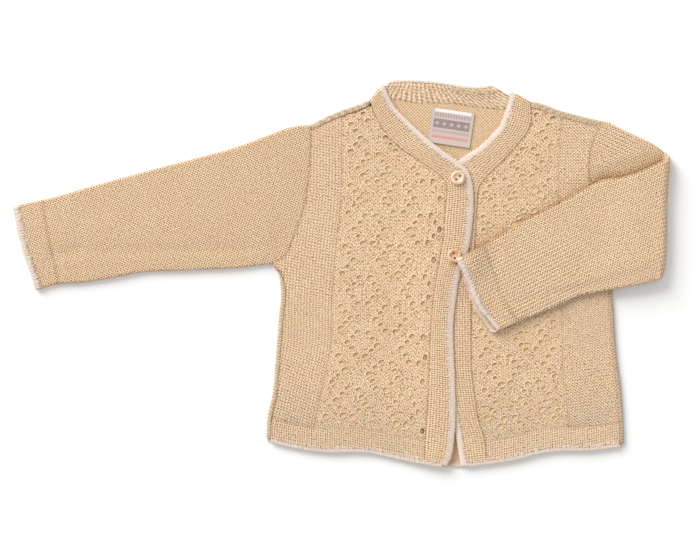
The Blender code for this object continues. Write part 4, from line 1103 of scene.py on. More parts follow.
def add_back(lines):
    """The back: flat on the floor, with its side and shoulder edges rolled over to the front."""
    side_rows, shoulder_rows = roll_rows(SIDE_ROLL), roll_rows(SHOULDER_ROLL)
    top, shoulders, neck = back_top(lines)
    across, up = back_shares(shoulders, neck, side_rows, shoulder_rows, lines["right"].length)
    hem = lines["hem"].beside(HEM_TRIM + NEAR)
    right, left = (lines[side].part(lines[side].where_above(hem), 1.0) for side in CUT)
    hem = hem.part(hem.share_at_x(right.at(0.0)[0]), hem.share_at_x(left.at(0.0)[0]))
    plan = patch(right, left, hem, top, across, up)
    grid = raised(plan, BACK_MID)
    roll_sides(grid, up, side_rows)
    covered = lift_beneath_fronts(grid, plan, lines)
    over = ease(shoulders[0] - across, -0.012, 0.008) + ease(across - shoulders[1], -0.012, 0.008)
    roll_shoulders(grid, plan, over, shoulder_rows)
    obj = grid_cloth("back_cloth", grid, plan, WALL, [FINISHES["inside"], FINISHES["plain"]], other_side=1)
    mark(obj, covered=covered)
    return settle(obj, "back")


# The fronts


def front_rim(lines, side):
    """A front's outline as a closed row of points, and its hem."""
    outer, centre, hem, shoulder = front_curves(lines, side)
    hem = fitted(hem, outer.at(0.0), centre.at(0.0))
    shoulder = fitted(shoulder, outer.at(1.0), centre.at(1.0))
    rim = []
    for curve, backwards in ((hem, False), (centre, False), (shoulder, True), (outer, True)):
        shares = np.linspace(0.0, 1.0, int(curve.length / ROW_STEP) + 1)[:-1]
        rim.append(curve.at(1.0 - shares if backwards else shares))
    return np.vstack(rim), hem


def inside_by(points, rim):
    """Distance from points to a closed outline, negative outside it."""
    after = np.roll(rim, -1, axis=0)
    span = after - rim
    size = np.maximum((span * span).sum(1), 1e-9)
    near = np.full(len(points), 1e9)
    odd = np.zeros(len(points), bool)
    for start, end, along, square in zip(rim, after, span, size):
        share = np.clip(((points - start) @ along) / square, 0, 1)
        near = np.minimum(near, np.hypot(*(start + share[:, None] * along - points).T))
        crosses = (start[1] > points[:, 1]) != (end[1] > points[:, 1])
        if crosses.any():
            at = start[0] + (points[:, 1] - start[1]) / along[1] * along[0]
            odd ^= crosses & (at > points[:, 0])
    return np.where(odd, near, -near)


def lace_edge(side):
    """The outer side of a front's lace, from the hem up."""
    return cut(side, "lace_edge").points[::-1]


def lace_place(side, inward, course):
    """Plan position of a point of the lace, from its distance to the outer edge and its course's height."""
    edge = lace_edge(side)
    tilt = COURSE_TILT * ease(course, TILT_FROM, TILT_TO)
    y = course + tilt * (LACE_WIDTH - inward) + LACE_SHIFT[side]
    return np.interp(y, edge[:, 1], edge[:, 0]) - OUTWARD[side] * inward, y


def place_in_lace(side, x, y):
    """The distance inward and the course of plan points, as lace_place has them."""
    edge = lace_edge(side)
    inward = (np.interp(y, edge[:, 1], edge[:, 0]) - x) * OUTWARD[side]
    y = y - LACE_SHIFT[side]
    course = np.array(y)
    for _ in range(8):
        course = y - COURSE_TILT * ease(course, TILT_FROM, TILT_TO) * (LACE_WIDTH - inward)
    return inward, course


def eyelet_shape(x, y, inward, size):
    """Half the width and half the height of an eyelet, and its lean. Each differs a little by its place."""
    size *= 0.92 + 0.16 * (math.sin(12.9898 * x + 78.233 * y) * 0.5 + 0.5)
    chance = math.sin(39.3467 * x + 11.135 * y)
    drawn = float(ease(inward, DRAWN_FROM, DRAWN_TO))
    wide = size * (EYELET_HEIGHT / 2 * (1.07 + 0.06 * chance) * (1.0 - drawn) + DRAWN_WIDE * drawn)
    tall = size * (EYELET_WIDTH / 2 * (0.96 - 0.06 * chance) * (1.0 - drawn) + DRAWN_TALL * drawn)
    return wide, tall, EYELET_TILT * chance * (1.0 - drawn)


def lace_holes(side, rim, hem):
    """Eyelets of a front. Columns: x, y, half the width, half the height, and the lean in radians."""
    found = []
    for column, row in np.ndindex(DIAMOND_COLUMNS, DIAMOND_ROWS):
        course = FIRST_DIAMOND_Y - DIAMOND_STEP_DOWN * (2 * row + column % 2)
        for place, (across, up) in enumerate(FULL_DIAMOND + [(-a, u) for a, u in FULL_DIAMOND]):
            inward = FIRST_DIAMOND_IN + DIAMOND_STEP_ACROSS * column + across
            if inward >= FIRST_HOLE_IN:
                x, y = lace_place(side, inward, course + up)
                size = SMALL_EYELET if place % len(FULL_DIAMOND) >= len(DIAMOND) else 1.0
                found.append((x, y, *eyelet_shape(x, y, inward, size)))
    found = np.array(found)
    rising = hem if side == "right" else hem.turned_round()
    border = rising.at(rising.share_at_x(found[:, 0]))[:, 1] + HEM_BORDER
    return found[(found[:, 1] > border) & (inside_by(found[:, :2], rim) > HOLE_MARGIN)]


def ring_about(hole, out):
    """Points round an eyelet, a given distance outside its edge. An eyelet is a little pointed at its top."""
    x, y, wide, tall, tilt = hole
    turn = np.linspace(0.0, 2 * math.pi, EYELET_POINTS, endpoint=False)
    point = 1.0 + 0.12 * np.clip(np.sin(turn), 0.0, 1.0) ** 3
    across, up = (wide + out) * np.cos(turn), (tall * point + out) * np.sin(turn)
    leaning = across * math.cos(tilt) - up * math.sin(tilt), across * math.sin(tilt) + up * math.cos(tilt)
    return np.stack([x + leaning[0], y + leaning[1]], -1)


def off_holes(points, holes):
    """How far points lie outside the nearest eyelet's edge, negative inside it."""
    least = np.full(len(points), 1e9)
    for x, y, wide, tall, tilt in holes:
        across, up = points[:, 0] - x, points[:, 1] - y
        along = across * math.cos(tilt) + up * math.sin(tilt)
        share = np.hypot(along / wide, (up * math.cos(tilt) - across * math.sin(tilt)) / tall)
        least = np.minimum(least, (share - 1.0) * (wide + tall) / 2)
    return least


def filling_points(rim, holes):
    """Points about evenly spaced inside an outline, clear of it and of the eyelets."""
    low, high = rim.min(0), rim.max(0)
    rows = []
    for k, y in enumerate(np.arange(low[1], high[1], KNIT_STEP * 0.866)):
        x = np.arange(low[0] + (k % 2) * KNIT_STEP / 2, high[0], KNIT_STEP)
        rows.append(np.stack([x, np.full(len(x), y)], -1))
    points = np.vstack(rows)
    points = points[inside_by(points, rim) > 0.6 * KNIT_STEP]
    return points[off_holes(points, holes) > 1.5]


def collar_points(rim, holes):
    """Two rings of points round each eyelet, but where they come near to another one or to the outline."""
    points = np.vstack([ring_about(hole, out) for hole in holes for out in (0.5, 1.1)])
    points = points[off_holes(points, holes) > 0.35]
    return points[inside_by(points, rim) > 0.6]


def lace_mesh(rim, holes):
    """Triangles that fill an outline with points about evenly spaced, but for the eyelets."""
    loops = [rim] + [ring_about(hole, 0.0) for hole in holes]
    edges, start = [], 0
    for loop in loops:
        edges += [(start + i, start + (i + 1) % len(loop)) for i in range(len(loop))]
        start += len(loop)
    points = np.vstack(loops + [collar_points(rim, holes), filling_points(rim, holes)])
    verts, _, faces, _, _, _ = delaunay_2d_cdt([Vector(p) for p in points], edges, [], 1, 1e-5)
    verts = np.array([tuple(v) for v in verts])
    faces = np.array([f for f in faces if len(f) == 3])
    middle = verts[faces].mean(1)
    faces = faces[(off_holes(middle, holes) > -0.02) & (inside_by(middle, rim) > 0)]
    used, number = np.unique(faces, return_inverse=True)
    return verts[used], number.reshape(faces.shape)


def front_seams(inward, above_hem, from_rim):
    """How deep a front lies in its lines, from 0 to 1: beside the lace, above the border, and at the rim."""
    beside_lace = groove(inward, 0.7, 1.0) * (above_hem > HEM_GROOVE - 2)
    above_border = groove(above_hem - HEM_GROOVE, 1.0, 1.0) * (1.0 - 0.5 * ease(inward, -5.0, 10.0))
    at_rim = groove(np.maximum(from_rim, 0.0), SEAM_DIP_WIDTH, 1.0) * ease(above_hem, 3.0, 6.0)
    return beside_lace, above_border, at_rim


def front_height(side, plan, holes, puffed, seams):
    """Height of a front's middle, with raised yarn round its eyelets, puffed diamonds, creases and seams."""
    beside_lace, above_border, at_rim = seams
    height = FRONT_MIDDLE[side](plan[:, 0]) + (WALL - LACE_WALL) / 2 + bending(*plan.T)
    height += groove(off_holes(plan, holes) - RIM_AT, RIM_SPREAD, RIM_RISE)
    height += PUFF / 2 * puffed - SEAM_DIP * at_rim - creased(*plan.T, CREASES[side])
    return height - LACE_GROOVE_DEPTH * beside_lace - HEM_GROOVE_DEPTH * above_border


def lace_puff(inward, course):
    """How far the lace stands out between its chains of eyelets, from -1 to 1."""
    columns = np.cos(math.pi * (inward - FIRST_DIAMOND_IN) / DIAMOND_STEP_ACROSS)
    return columns * np.cos(math.pi * (course - FIRST_DIAMOND_Y) / DIAMOND_STEP_DOWN)


def front_lines(side, plan, seams):
    """How dark a front's seams show, and on the left front the painted shade along the edge of the sleeve
    that lies on it.
    """
    beside_lace, above_border, at_rim = seams
    drawn, shade = 0.85, 0.0
    if side == "left":
        drawn = 0.85 - 0.5 * ease(plan[:, 0], 110.0, 125.0)
        # painted shade beneath the returned sleeve's upper edge
        shade = groove(off_curve(plan, smooth(LEFT_BACK_TOP), 200), 3.5, 0.6)
    return np.clip(0.4 * beside_lace + 0.4 * above_border + drawn * at_rim + shade, 0.0, 1.0)


def add_front(lines, side):
    """One front, and its eyelets: lace beside the band, plain knit beside the side seam."""
    rim, hem = front_rim(lines, side)
    holes = lace_holes(side, rim, hem)
    plan, faces = lace_mesh(rim, holes)
    x, y = plan.T
    inward, course = place_in_lace(side, x, y)
    above_hem = y - np.interp(x, lines["hem"].points[:, 0], lines["hem"].points[:, 1])
    from_rim = inside_by(plan, rim)
    seams = front_seams(inward, above_hem, from_rim)
    in_lace = ease(inward, -0.8, 0.8) * ease(above_hem, HEM_GROOVE - 0.5, HEM_GROOVE + 1.5)
    in_border = 1.0 - ease(above_hem, HEM_GROOVE - 1.0, HEM_GROOVE + 1.0)
    height = front_height(side, plan, holes, lace_puff(inward, course) * in_lace, seams)
    points, place = np.column_stack([plan, height]), np.stack([inward, course], -1)
    obj = new_piece(f"front_{side}_cloth", points, faces, place[faces], [FINISHES["front_" + side]])
    mark(obj, lace=in_lace, border=in_border, low=ease(-y, 78.0, 122.0), seam=front_lines(side, plan, seams))
    thicken(obj, LACE_WALL, soft=from_rim > 0.5)
    return settle(obj, "front_" + side), holes


# The sleeves


def ring_steps(flat, turn):
    """Steps round a pressed sleeve, as (place across from -1 to 1, side turn in degrees)."""
    places = np.linspace(-1.0, 1.0, flat)
    steps = [(s, -90.0) for s in places]
    steps += [(1, a) for a in np.linspace(-90, 90, turn + 2)[1:-1]]
    steps += [(s, 90.0) for s in places[::-1]]
    return steps + [(-1, a) for a in np.linspace(90, -90, turn + 2)[1:-1]]


def sleeve_section(line, middle_height, upward, fullness, crown, steps):
    """One ring of a pressed sleeve on a line across it."""
    width = np.linalg.norm(line(1.0) - line(0.0))
    inset = (fullness + WALL) / 2 / width
    across, turn = np.array(steps).T
    angle = np.radians(turn)
    share = 0.5 + across * (0.5 - inset + np.cos(angle) * fullness / 2 / width)
    layer = np.sin(angle)
    swell = crown * np.maximum(layer * upward[2], 0.0) * np.sin(math.pi * np.clip(share, 0.0, 1.0))
    plan = line(share)
    return np.column_stack([plan, middle_height + swell]) + np.outer(layer, np.array(upward) * fullness / 2)


def across_line(curves, along):
    """The line across a sleeve at one share of its length, as a function of the share across it."""
    bottom, top, start, end = curves

    def at(share):
        """Plan points of the line."""
        found = patch(start, end, bottom, top, np.array([along]), np.atleast_1d(share))[0]
        return found if np.ndim(share) else found[0]

    return at


def sleeve_place(grid, towards, anchor):
    """Where a sleeve's points lie on its cloth: round it and along it.

    Towards is the direction of the cloth's wales in plan, in degrees. Anchor is the step of the ring about
    which the place is exact in plan.
    """
    wale = np.array((math.cos(math.radians(towards)), math.sin(math.radians(towards))))
    across = np.array((-wale[1], wale[0]))
    closed = np.concatenate([grid, grid[:1]])
    along = closed[..., :2] @ wale
    steps = np.diff(closed, axis=0)
    round_by = np.sqrt(np.maximum((steps**2).sum(-1) - (steps[..., :2] @ wale) ** 2, 0.0))
    around = np.concatenate([np.zeros((1, grid.shape[1])), np.cumsum(round_by, 0)])
    sign = np.sign((steps[anchor, :, :2] @ across).mean())
    around += sign * (closed[anchor, :, :2] @ across) - around[anchor]
    return np.stack([around, along], -1)


def fullness(away):
    """Distance between a pressed sleeve's layers, by the distance from the armhole."""
    return FRONT_MID - BACK_MID + (SLEEVE_FULLNESS - FRONT_MID + BACK_MID) * ease(away, 0, SLEEVE_EASE)


def right_sleeve_rings(shares, wall, steps):
    """Rings of the stretched sleeve, at shares of its length from the armhole to the cuff."""
    curves = (smooth(RIGHT_BOTTOM), smooth(RIGHT_TOP), cut("right", "armhole"), smooth(RIGHT_CUFF))
    rings = []
    for share in shares:
        away = share * curves[1].length
        full, crown = fullness(away), SLEEVE_CROWN * ease(away, 0, SLEEVE_EASE)
        line = across_line(curves, share)
        rings.append(sleeve_section(line, wall / 2 + full / 2, (0, 0, 1), full, crown, steps))
    return np.array(rings).transpose(1, 0, 2)


def press_in(grid, rows, from_cuff, from_armhole):
    """Puts creases and the cuff's groove into a sleeve's upper layer. It returns the mark of its lines."""
    x, y, z = grid[..., 0], grid[..., 1], grid[..., 2]
    upper = z > (z.max(0) + z.min(0))[None] / 2
    line = 1.7 * groove(from_cuff - CUFF_GROOVE, 1.0, 1.0) + groove(from_armhole, SEAM_DIP_WIDTH, 1.0)
    line = line + 0.2 * groove(from_cuff - EDGE_TRIM, SEAM_DIP_WIDTH, 1.0)
    grid[..., 2] += np.where(upper, bending(x, y) * 1.3 - creased(x, y, rows) - 0.2 * line, 0.0)
    return np.broadcast_to(line, x.shape).copy()


def add_sleeve_right():
    """The right sleeve: a tube pressed flat, from the armhole to the cuff."""
    length = smooth(RIGHT_TOP).length
    shares = np.linspace(NEAR / length, 1.0 - (EDGE_TRIM + 2 * NEAR) / length, int(length / ROW_STEP))
    grid = right_sleeve_rings(shares, WALL, ring_steps(SLEEVE_FLAT_STEPS, SLEEVE_TURN_STEPS))
    line = press_in(grid, CREASES["sleeve_right"], (1.0 - shares) * length, shares * length)
    # painted shade along the sleeve's upper edge, where it turns down
    line[SLEEVE_FLAT_STEPS + 2 : SLEEVE_FLAT_STEPS + SLEEVE_TURN_STEPS + 1] += 0.55
    place = sleeve_place(grid, RIGHT_WALES, SECOND_MIDDLE)
    obj = grid_cloth("sleeve_right_cloth", grid, place, WALL, [FINISHES["sleeve_right"]], tube=True)
    mark(obj, seam=0.35 * line)
    return settle(obj, "sleeve_right")


def ring_out(curves, share, steps):
    """A ring of the left sleeve between the armhole and the fold."""
    full = fullness(share * curves[1].length)
    return sleeve_section(across_line(curves, share), WALL / 2 + full / 2, (0, 0, 1), full, 0.0, steps)


def ring_round_fold(out, back, share, steps):
    """A ring of the left sleeve where it turns back over itself."""
    turn = math.pi * (share - 0.5)
    reach = np.array([math.cos(turn) * FOLD_RADIUS, 0.0])
    first, last = across_line(out, 1.0), across_line(back, 0.0)

    def line(across):
        """The line across the fold, on its way from one part's end to the other's."""
        return first(across) * (1 - share) + last(across) * share + reach

    upward = (-math.cos(turn), 0.0, -math.sin(turn))
    middle = (SLEEVE_FULLNESS + WALL) / 2 + FOLD_RADIUS + math.sin(turn) * FOLD_RADIUS
    return sleeve_section(line, middle, upward, SLEEVE_FULLNESS, 0.0, steps)


def ring_back(curves, share, steps):
    """A ring of the left sleeve on the fronts: pressed at its lower edge, and slipped apart at the cuff."""
    line = across_line(curves, share)
    ring = sleeve_section(line, 0.0, (0, 0, -1), SLEEVE_FULLNESS, 0.0, steps)
    start, across = line(0.0), line(1.0) - line(0.0)
    before, after = (share - 0.02, share) if share > 0.5 else (share, share + 0.02)
    along = across_line(curves, after)(0.5) - across_line(curves, before)(0.5)
    along /= np.linalg.norm(along)
    lower = 0.5 - ring[:, 2] / SLEEVE_FULLNESS
    upward = (ring[:, :2] - start) @ across / (across @ across)
    crown = SLEEVE_CROWN * ease(share * curves[1].length, 0, SLEEVE_EASE)
    lift = return_height(ring[:, 0], ring[:, 1]) + crown * (1 - lower)
    slip = CUFF_SLIP * ease(share, SLIP_FROM, 1.0)
    ring[:, :2] += along * (slip * lower * (1 - upward))[:, None]
    pressed = groove(upward * np.linalg.norm(across), EDGE_PRESS_WIDTH, 1.0)
    pressed *= 1.0 - ease(share, PRESS_ENDS_FROM, PRESS_ENDS_TO)
    ring[:, 2] += lift - pressed * (0.2 + EDGE_PRESS * (1.0 - lower))
    return ring


def left_sleeve_rings(stages, steps):
    """Rings of the folded sleeve. A stage is (part, share): out from the armhole, round the fold, or back."""
    out = (smooth(LEFT_OUT_BOTTOM), smooth(LEFT_OUT_TOP), cut("left", "armhole"), smooth(FOLD_OUT))
    back = (smooth(LEFT_BACK_BOTTOM), smooth(LEFT_BACK_TOP), smooth(FOLD_BACK), smooth(LEFT_CUFF))
    rings = []
    for part, share in stages:
        if part == "out":
            rings.append(ring_out(out, share, steps))
        elif part == "fold":
            rings.append(ring_round_fold(out, back, share, steps))
        else:
            rings.append(ring_back(back, share, steps))
    return np.array(rings).transpose(1, 0, 2)


def return_height(x, y):
    """Height of the folded sleeve's middle above the floor, where it lies on the front."""
    _, button_x, button_y, _ = BUTTONS[1]
    from_button = np.hypot(x - button_x, y - button_y)
    rise = CUFF_RISE * ease(x, CUFF_RISE_FROM, CUFF_RISE_TO)
    rise = rise + BUTTON_LIFT * (1.0 - ease(from_button, BUTTON_LIFT_NEAR, BUTTON_LIFT_FAR))
    above = 2 * FOLD_RADIUS + (SLEEVE_FULLNESS + WALL) / 2 - RETURN_MID
    return RETURN_MID + rise + above * (1.0 - ease(x, FOLD_SETTLE_FROM, FOLD_SETTLE_TO))


def left_sleeve_ribs(x, y, turned):
    """How plain the left sleeve's ribs show: below the shoulder, and from the cuff along the lower edge."""
    cap = np.exp(-(((x - 136.0) / 22.0) ** 2) - ((y - 103.0) / 17.0) ** 2)
    low = (1.0 - ease(x, 95.0, 130.0)) * (1.0 - ease(y, 10.0, 45.0))
    back = 0.3 + 0.45 * low + 0.35 * ease(x, 161.0, 172.0)
    return np.concatenate([cap[:, :turned], back[:, turned:]], 1)


def left_sleeve_lines(grid, from_armhole, from_cuff, out, folded):
    """Puts creases into the left sleeve's upper layers. It returns how dark its seams show, with painted
    shade along its upper edges and beside the returned part's upper edge.

    Out and folded are the numbers of rings before the fold and round it.
    """
    shoulder = press_in(grid[:, :out], CREASES["shoulder_left"], from_cuff[:out], from_armhole[:out])
    returned = press_in(grid[:, out:], CREASES["sleeve_left"], from_cuff[out:], from_armhole[out:])
    line = 0.35 * np.concatenate([shoulder, returned], 1)
    beside_return = off_curve(grid[:, :out, :2].reshape(-1, 2), smooth(LEFT_BACK_TOP), 300).reshape(-1, out)
    # painted shade on the part near the armhole, beside the returned part's upper edge
    line[:, :out] += groove(beside_return, 4.5, 1.0)
    edge = slice(SLEEVE_FLAT_STEPS, SLEEVE_FLAT_STEPS + SLEEVE_TURN_STEPS)
    # painted shade along the sleeve's upper edge, darker where the returned part meets the part beneath
    line[edge, :out] += 0.3
    line[edge, out + folded :] += 0.8
    return line


def left_sleeve_place(grid, out, round_fold):
    """Where the left sleeve's points lie on its cloth, with its two parts joined at the fold."""
    place_out = sleeve_place(grid[:, :out], LEFT_OUT_WALES, SECOND_MIDDLE)
    place_back = sleeve_place(grid[:, out:], LEFT_BACK_WALES, FIRST_MIDDLE)
    step = place_out[FIRST_MIDDLE, -1] - place_back[FIRST_MIDDLE, 0]
    place_back[..., 1] += step[1]
    place_out[..., 0] -= step[0]
    place_back[..., 1] += 0.9 * round_fold
    return np.concatenate([place_out, place_back], 1)


def add_sleeve_left():
    """The left sleeve: out from the armhole on the floor, round a fold, and back across the front."""
    out_length, back_length = smooth(LEFT_OUT_TOP).length, smooth(LEFT_BACK_TOP).length
    turned = math.pi * FOLD_RADIUS
    out = np.linspace(NEAR / out_length, 1.0, LEFT_OUT_RINGS)
    fold = np.linspace(0.0, 1.0, FOLD_RINGS)[1:-1]
    back = np.linspace(0.0, 1.0 - (EDGE_TRIM + 2 * NEAR) / back_length, int(back_length / ROW_STEP))
    returned = out_length + turned
    along = np.concatenate([out * out_length, out_length + fold * turned, returned + back * back_length])
    stages = [(part, s) for part, shares in (("out", out), ("fold", fold), ("back", back)) for s in shares]
    grid = left_sleeve_rings(stages, ring_steps(SLEEVE_FLAT_STEPS, SLEEVE_TURN_STEPS))
    from_cuff = returned + back_length - along
    line = left_sleeve_lines(grid, along, from_cuff, len(out), len(fold))
    place = left_sleeve_place(grid, len(out), np.minimum(along[len(out) :] - out_length, turned))
    obj = grid_cloth("sleeve_left_cloth", grid, place, WALL, [FINISHES["sleeve_left"]], tube=True)
    mark(obj, seam=line, ribbed=left_sleeve_ribs(grid[..., 0], grid[..., 1], len(out)))
    return settle(obj, "sleeve_left")


# The bands and the edgings


def folded_end(last, fold, wall):
    """The rows that carry a strip's last row round a fold, down to the floor, and on along the tail."""
    radius = (last[:, 2:] - wall / 2) / 2
    rows = []
    for angle in np.linspace(15.0, 180.0, 12):
        turn = math.radians(angle)
        drop = np.concatenate([np.zeros((len(last), 2)), radius * (1 - math.cos(turn))], 1)
        rows.append(last + np.append(fold.ahead, 0.0) * radius * math.sin(turn) - drop)
    rows.append(rows[-1] + np.append(fold.onward, 0.0) * NECK_TAIL)
    return np.stack(rows, 1)


def strip_grid(inner, outer, height, wall, columns, fold=None, crown=0.0, dip=0.0):
    """A band's middle surface between two rows of points, and its place on the cloth."""
    across = np.linspace(0.0, 1.0, columns)[:, None, None]
    plan = inner[None] * (1 - across) + outer[None] * across
    grid = raised(plan, height(plan[..., 0]))
    grid[..., 2] += crown * np.sin(math.pi * across[..., 0])
    wide = np.linalg.norm(outer - inner, axis=1)[None]
    for away in (across[..., 0] * wide, (1.0 - across[..., 0]) * wide):
        grid[..., 2] -= dip * groove(away, SEAM_DIP_WIDTH, 1.0)
    if fold is not None:
        grid = np.concatenate([grid, folded_end(grid[:, -1], fold, wall)], 1)
    along = run_of(grid[columns // 2])
    wide = np.linalg.norm(grid[-1] - grid[0], axis=1)
    wide = np.full_like(wide, np.median(wide))
    place = np.stack([across[..., 0] * wide[None], np.broadcast_to(along, (columns, len(along)))], -1)
    return grid, place


def looped_thread(name, stitches, paths, radius, finish):
    """Tubes along many short paths, as one mesh. Paths is an array of thread, point, and x, y, z."""
    along = np.gradient(paths, axis=1)
    along /= np.linalg.norm(along, axis=2)[..., None]
    beside = np.cross(along, stitches)
    beside /= np.maximum(np.linalg.norm(beside, axis=2), 1e-6)[..., None]
    above = np.cross(beside, along)
    turn = np.linspace(0, 2 * math.pi, THREAD_SIDES, endpoint=False)
    ends = np.ones(paths.shape[1])
    ends[0] = ends[-1] = 0.35
    out = beside[..., None, :] * np.cos(turn)[:, None] + above[..., None, :] * np.sin(turn)[:, None]
    points = paths[..., None, :] + out * (radius * ends)[None, :, None, None]
    number = np.arange(points.size // 3).reshape(points.shape[:3])
    after = np.roll(number, -1, 2)
    quads = np.stack([number[:, :-1], after[:, :-1], after[:, 1:], number[:, 1:]], -1).reshape(-1, 4)
    caps = np.concatenate([number[:, 0, ::-1], number[:, -1]])
    length = np.cumsum(np.linalg.norm(np.diff(paths, axis=1), axis=2), 1)
    length = np.concatenate([np.zeros((len(paths), 1)), length], 1)
    v = np.broadcast_to(length[..., None] + 3.7 * np.arange(len(paths))[:, None, None], number.shape)
    u = np.broadcast_to(turn * radius, number.shape)
    place = np.stack([u, v], -1).reshape(-1, 2)
    corners = np.vstack([place[quads.ravel()], place[caps.ravel()]])
    return new_piece(name, points, [*quads, *caps], corners, [finish])


def read_rows(rows, run, where):
    """Rows of points along an edge, read at distances along it."""
    return np.stack([np.interp(where, run, rows[:, k]) for k in range(rows.shape[1])], -1)


def overlock_paths(inner, outer, upward, over, past, seed):
    """Threads sewn over an edge: from the cloth, over the edging, to a tip beyond its edge, uneven in length.

    Inner, outer and upward are rows of points and directions along the edge. Over and past are how far a
    thread reaches onto the cloth and beyond the edge, in millimetres.
    """
    rng = np.random.default_rng(seed)
    run = run_of((inner + outer) / 2)
    count = max(2, int(run[-1] / THREAD_PITCH))
    paths, ups = [], []
    for slant in (0.55, -0.55):
        at = (np.arange(count) + rng.uniform(0.0, 1.0, count)) * THREAD_PITCH
        leaning = slant * THREAD_PITCH * rng.uniform(0.3, 1.7, count)
        tips = past * rng.uniform(-0.8, 1.9, count)
        starts = over * rng.uniform(-0.2, 1.5, count)
        levels = THREAD_LIFT * rng.uniform(0.4, 1.4, count)
        wide = np.linalg.norm(read_rows(outer - inner, run, at), axis=1)
        thread = []
        for share, rise in THREAD_WAY:
            where = at + leaning * (share - 0.5)
            base, edge, up = (read_rows(rows, run, where) for rows in (inner, outer, upward))
            across = (edge - base) / np.maximum(np.linalg.norm(edge - base, axis=1), 1e-6)[:, None]
            reach = -starts + (starts + wide + tips) * share
            thread.append(base + across * reach[:, None] + up * (rise * levels + 0.5)[:, None])
        paths.append(np.stack(thread, 1))
        ups.append(np.repeat(read_rows(upward, run, at)[:, None], len(thread), 1))
    return np.concatenate(paths), np.concatenate(ups)


def sew_over(node, inner, outer, upward, over, past, seed):
    """The thread that is sewn over an edging."""
    paths, ups = overlock_paths(inner, outer, upward, over, past, seed)
    thread = looped_thread(node + "_tape_thread", ups, paths, THREAD_RADIUS, FINISHES["thread"])
    return settle(thread, slot="trim")


def add_edging(node, grid, place, over, past, seed, rows=None):
    """Pale edging along one edge: a soft tape, and the thread over its first rows, or over all of them."""
    tape = settle(grid_cloth(node + "_tape", grid, place, TAPE_WALL, [FINISHES["tape"]]), node, slot="trim")
    inner, outer = grid[0, :rows], grid[-1, :rows]
    upward = np.tile((0.0, 0.0, 1.0), (len(inner), 1))
    return [tape, sew_over(node, inner, outer, upward, over, past, seed)]


def add_band(node, seam, edge, height, fold=None):
    """A ribbed strip between two rows of points."""
    grid, place = strip_grid(seam, edge, height, RIB_WALL, BAND_COLUMNS, fold, BAND_CROWN, SEAM_DIP)
    if fold is None:
        grid[..., 2] += 0.6 * bending(grid[..., 0] * 1.7, grid[..., 1] * 1.7)
    return settle(grid_cloth(node + "_cloth", grid, place, RIB_WALL, [FINISHES["band"]]), node)


def add_front_edging(side, edge, rows, fold, seed):
    """The edging along a band and its half of the neckband. Its outer side hangs down, up to the fold."""
    trim_edge = edge.beside(-OUTWARD[side] * EDGE_TRIM)
    inner = trim_edge.at(np.append(rows, trim_edge.where(fold.passed)))
    outer = edge.at(np.append(rows, edge.where(fold.passed)))
    grid, place = strip_grid(inner, outer, FRONT_MIDDLE[side], TRIM_WALL, EDGING_COLUMNS, fold, BAND_CROWN)
    before_fold = ease(len(inner) - 1 - np.arange(grid.shape[1]), 0, DROOP_ROWS)
    grid[..., 2] -= EDGE_DROOP * np.linspace(0.0, 1.0, EDGING_COLUMNS)[:, None] ** 2 * before_fold
    return add_edging("edging_front_" + side, grid, place, 1.7, 0.8, seed, rows=len(inner))


def add_bands(lines, side, seed):
    """A front's band, its half of the neckband, and the edging that runs along both."""
    height, fold, hem = FRONT_MIDDLE[side], shoulder_fold(side), lines["hem"].beside(PANEL_HEM)
    band_edge, neck_edge = cut(side, "band_edge"), cut(side, "neck_edge")
    band_seam = cut(side, "band_seam").beside(OUTWARD[side] * NEAR)
    neck_seam = cut(side, "neck_seam").beside(OUTWARD[side] * NEAR)
    edge = joined(band_edge, neck_edge)
    knit_edge = edge.beside(-OUTWARD[side] * (EDGE_TRIM + NEAR))
    split, half_gap = band_edge.length / edge.length, NEAR / edge.length
    count = int(band_edge.length / BAND_STEP)
    band_rows = np.linspace(knit_edge.where_above(hem), split - half_gap, count)
    seam_rows = np.linspace(band_seam.where_above(hem), 1.0 - NEAR / band_seam.length, count)
    band = add_band("button_band_" + side, band_seam.at(seam_rows), knit_edge.at(band_rows), height)
    count = int(neck_edge.length / BAND_STEP)
    neck_rows = np.linspace(split + half_gap, knit_edge.where(fold.passed), count)
    seam_rows = np.linspace(NEAR / neck_seam.length, neck_seam.where(fold.passed), count)
    neckband = add_band("neckband_" + side, neck_seam.at(seam_rows), knit_edge.at(neck_rows), height, fold)
    trim_rows = np.concatenate([np.linspace(0.0, band_rows[0], 4)[:-1], band_rows, neck_rows[:-1]])
    return [band, neckband], add_front_edging(side, edge, trim_rows, fold, seed)


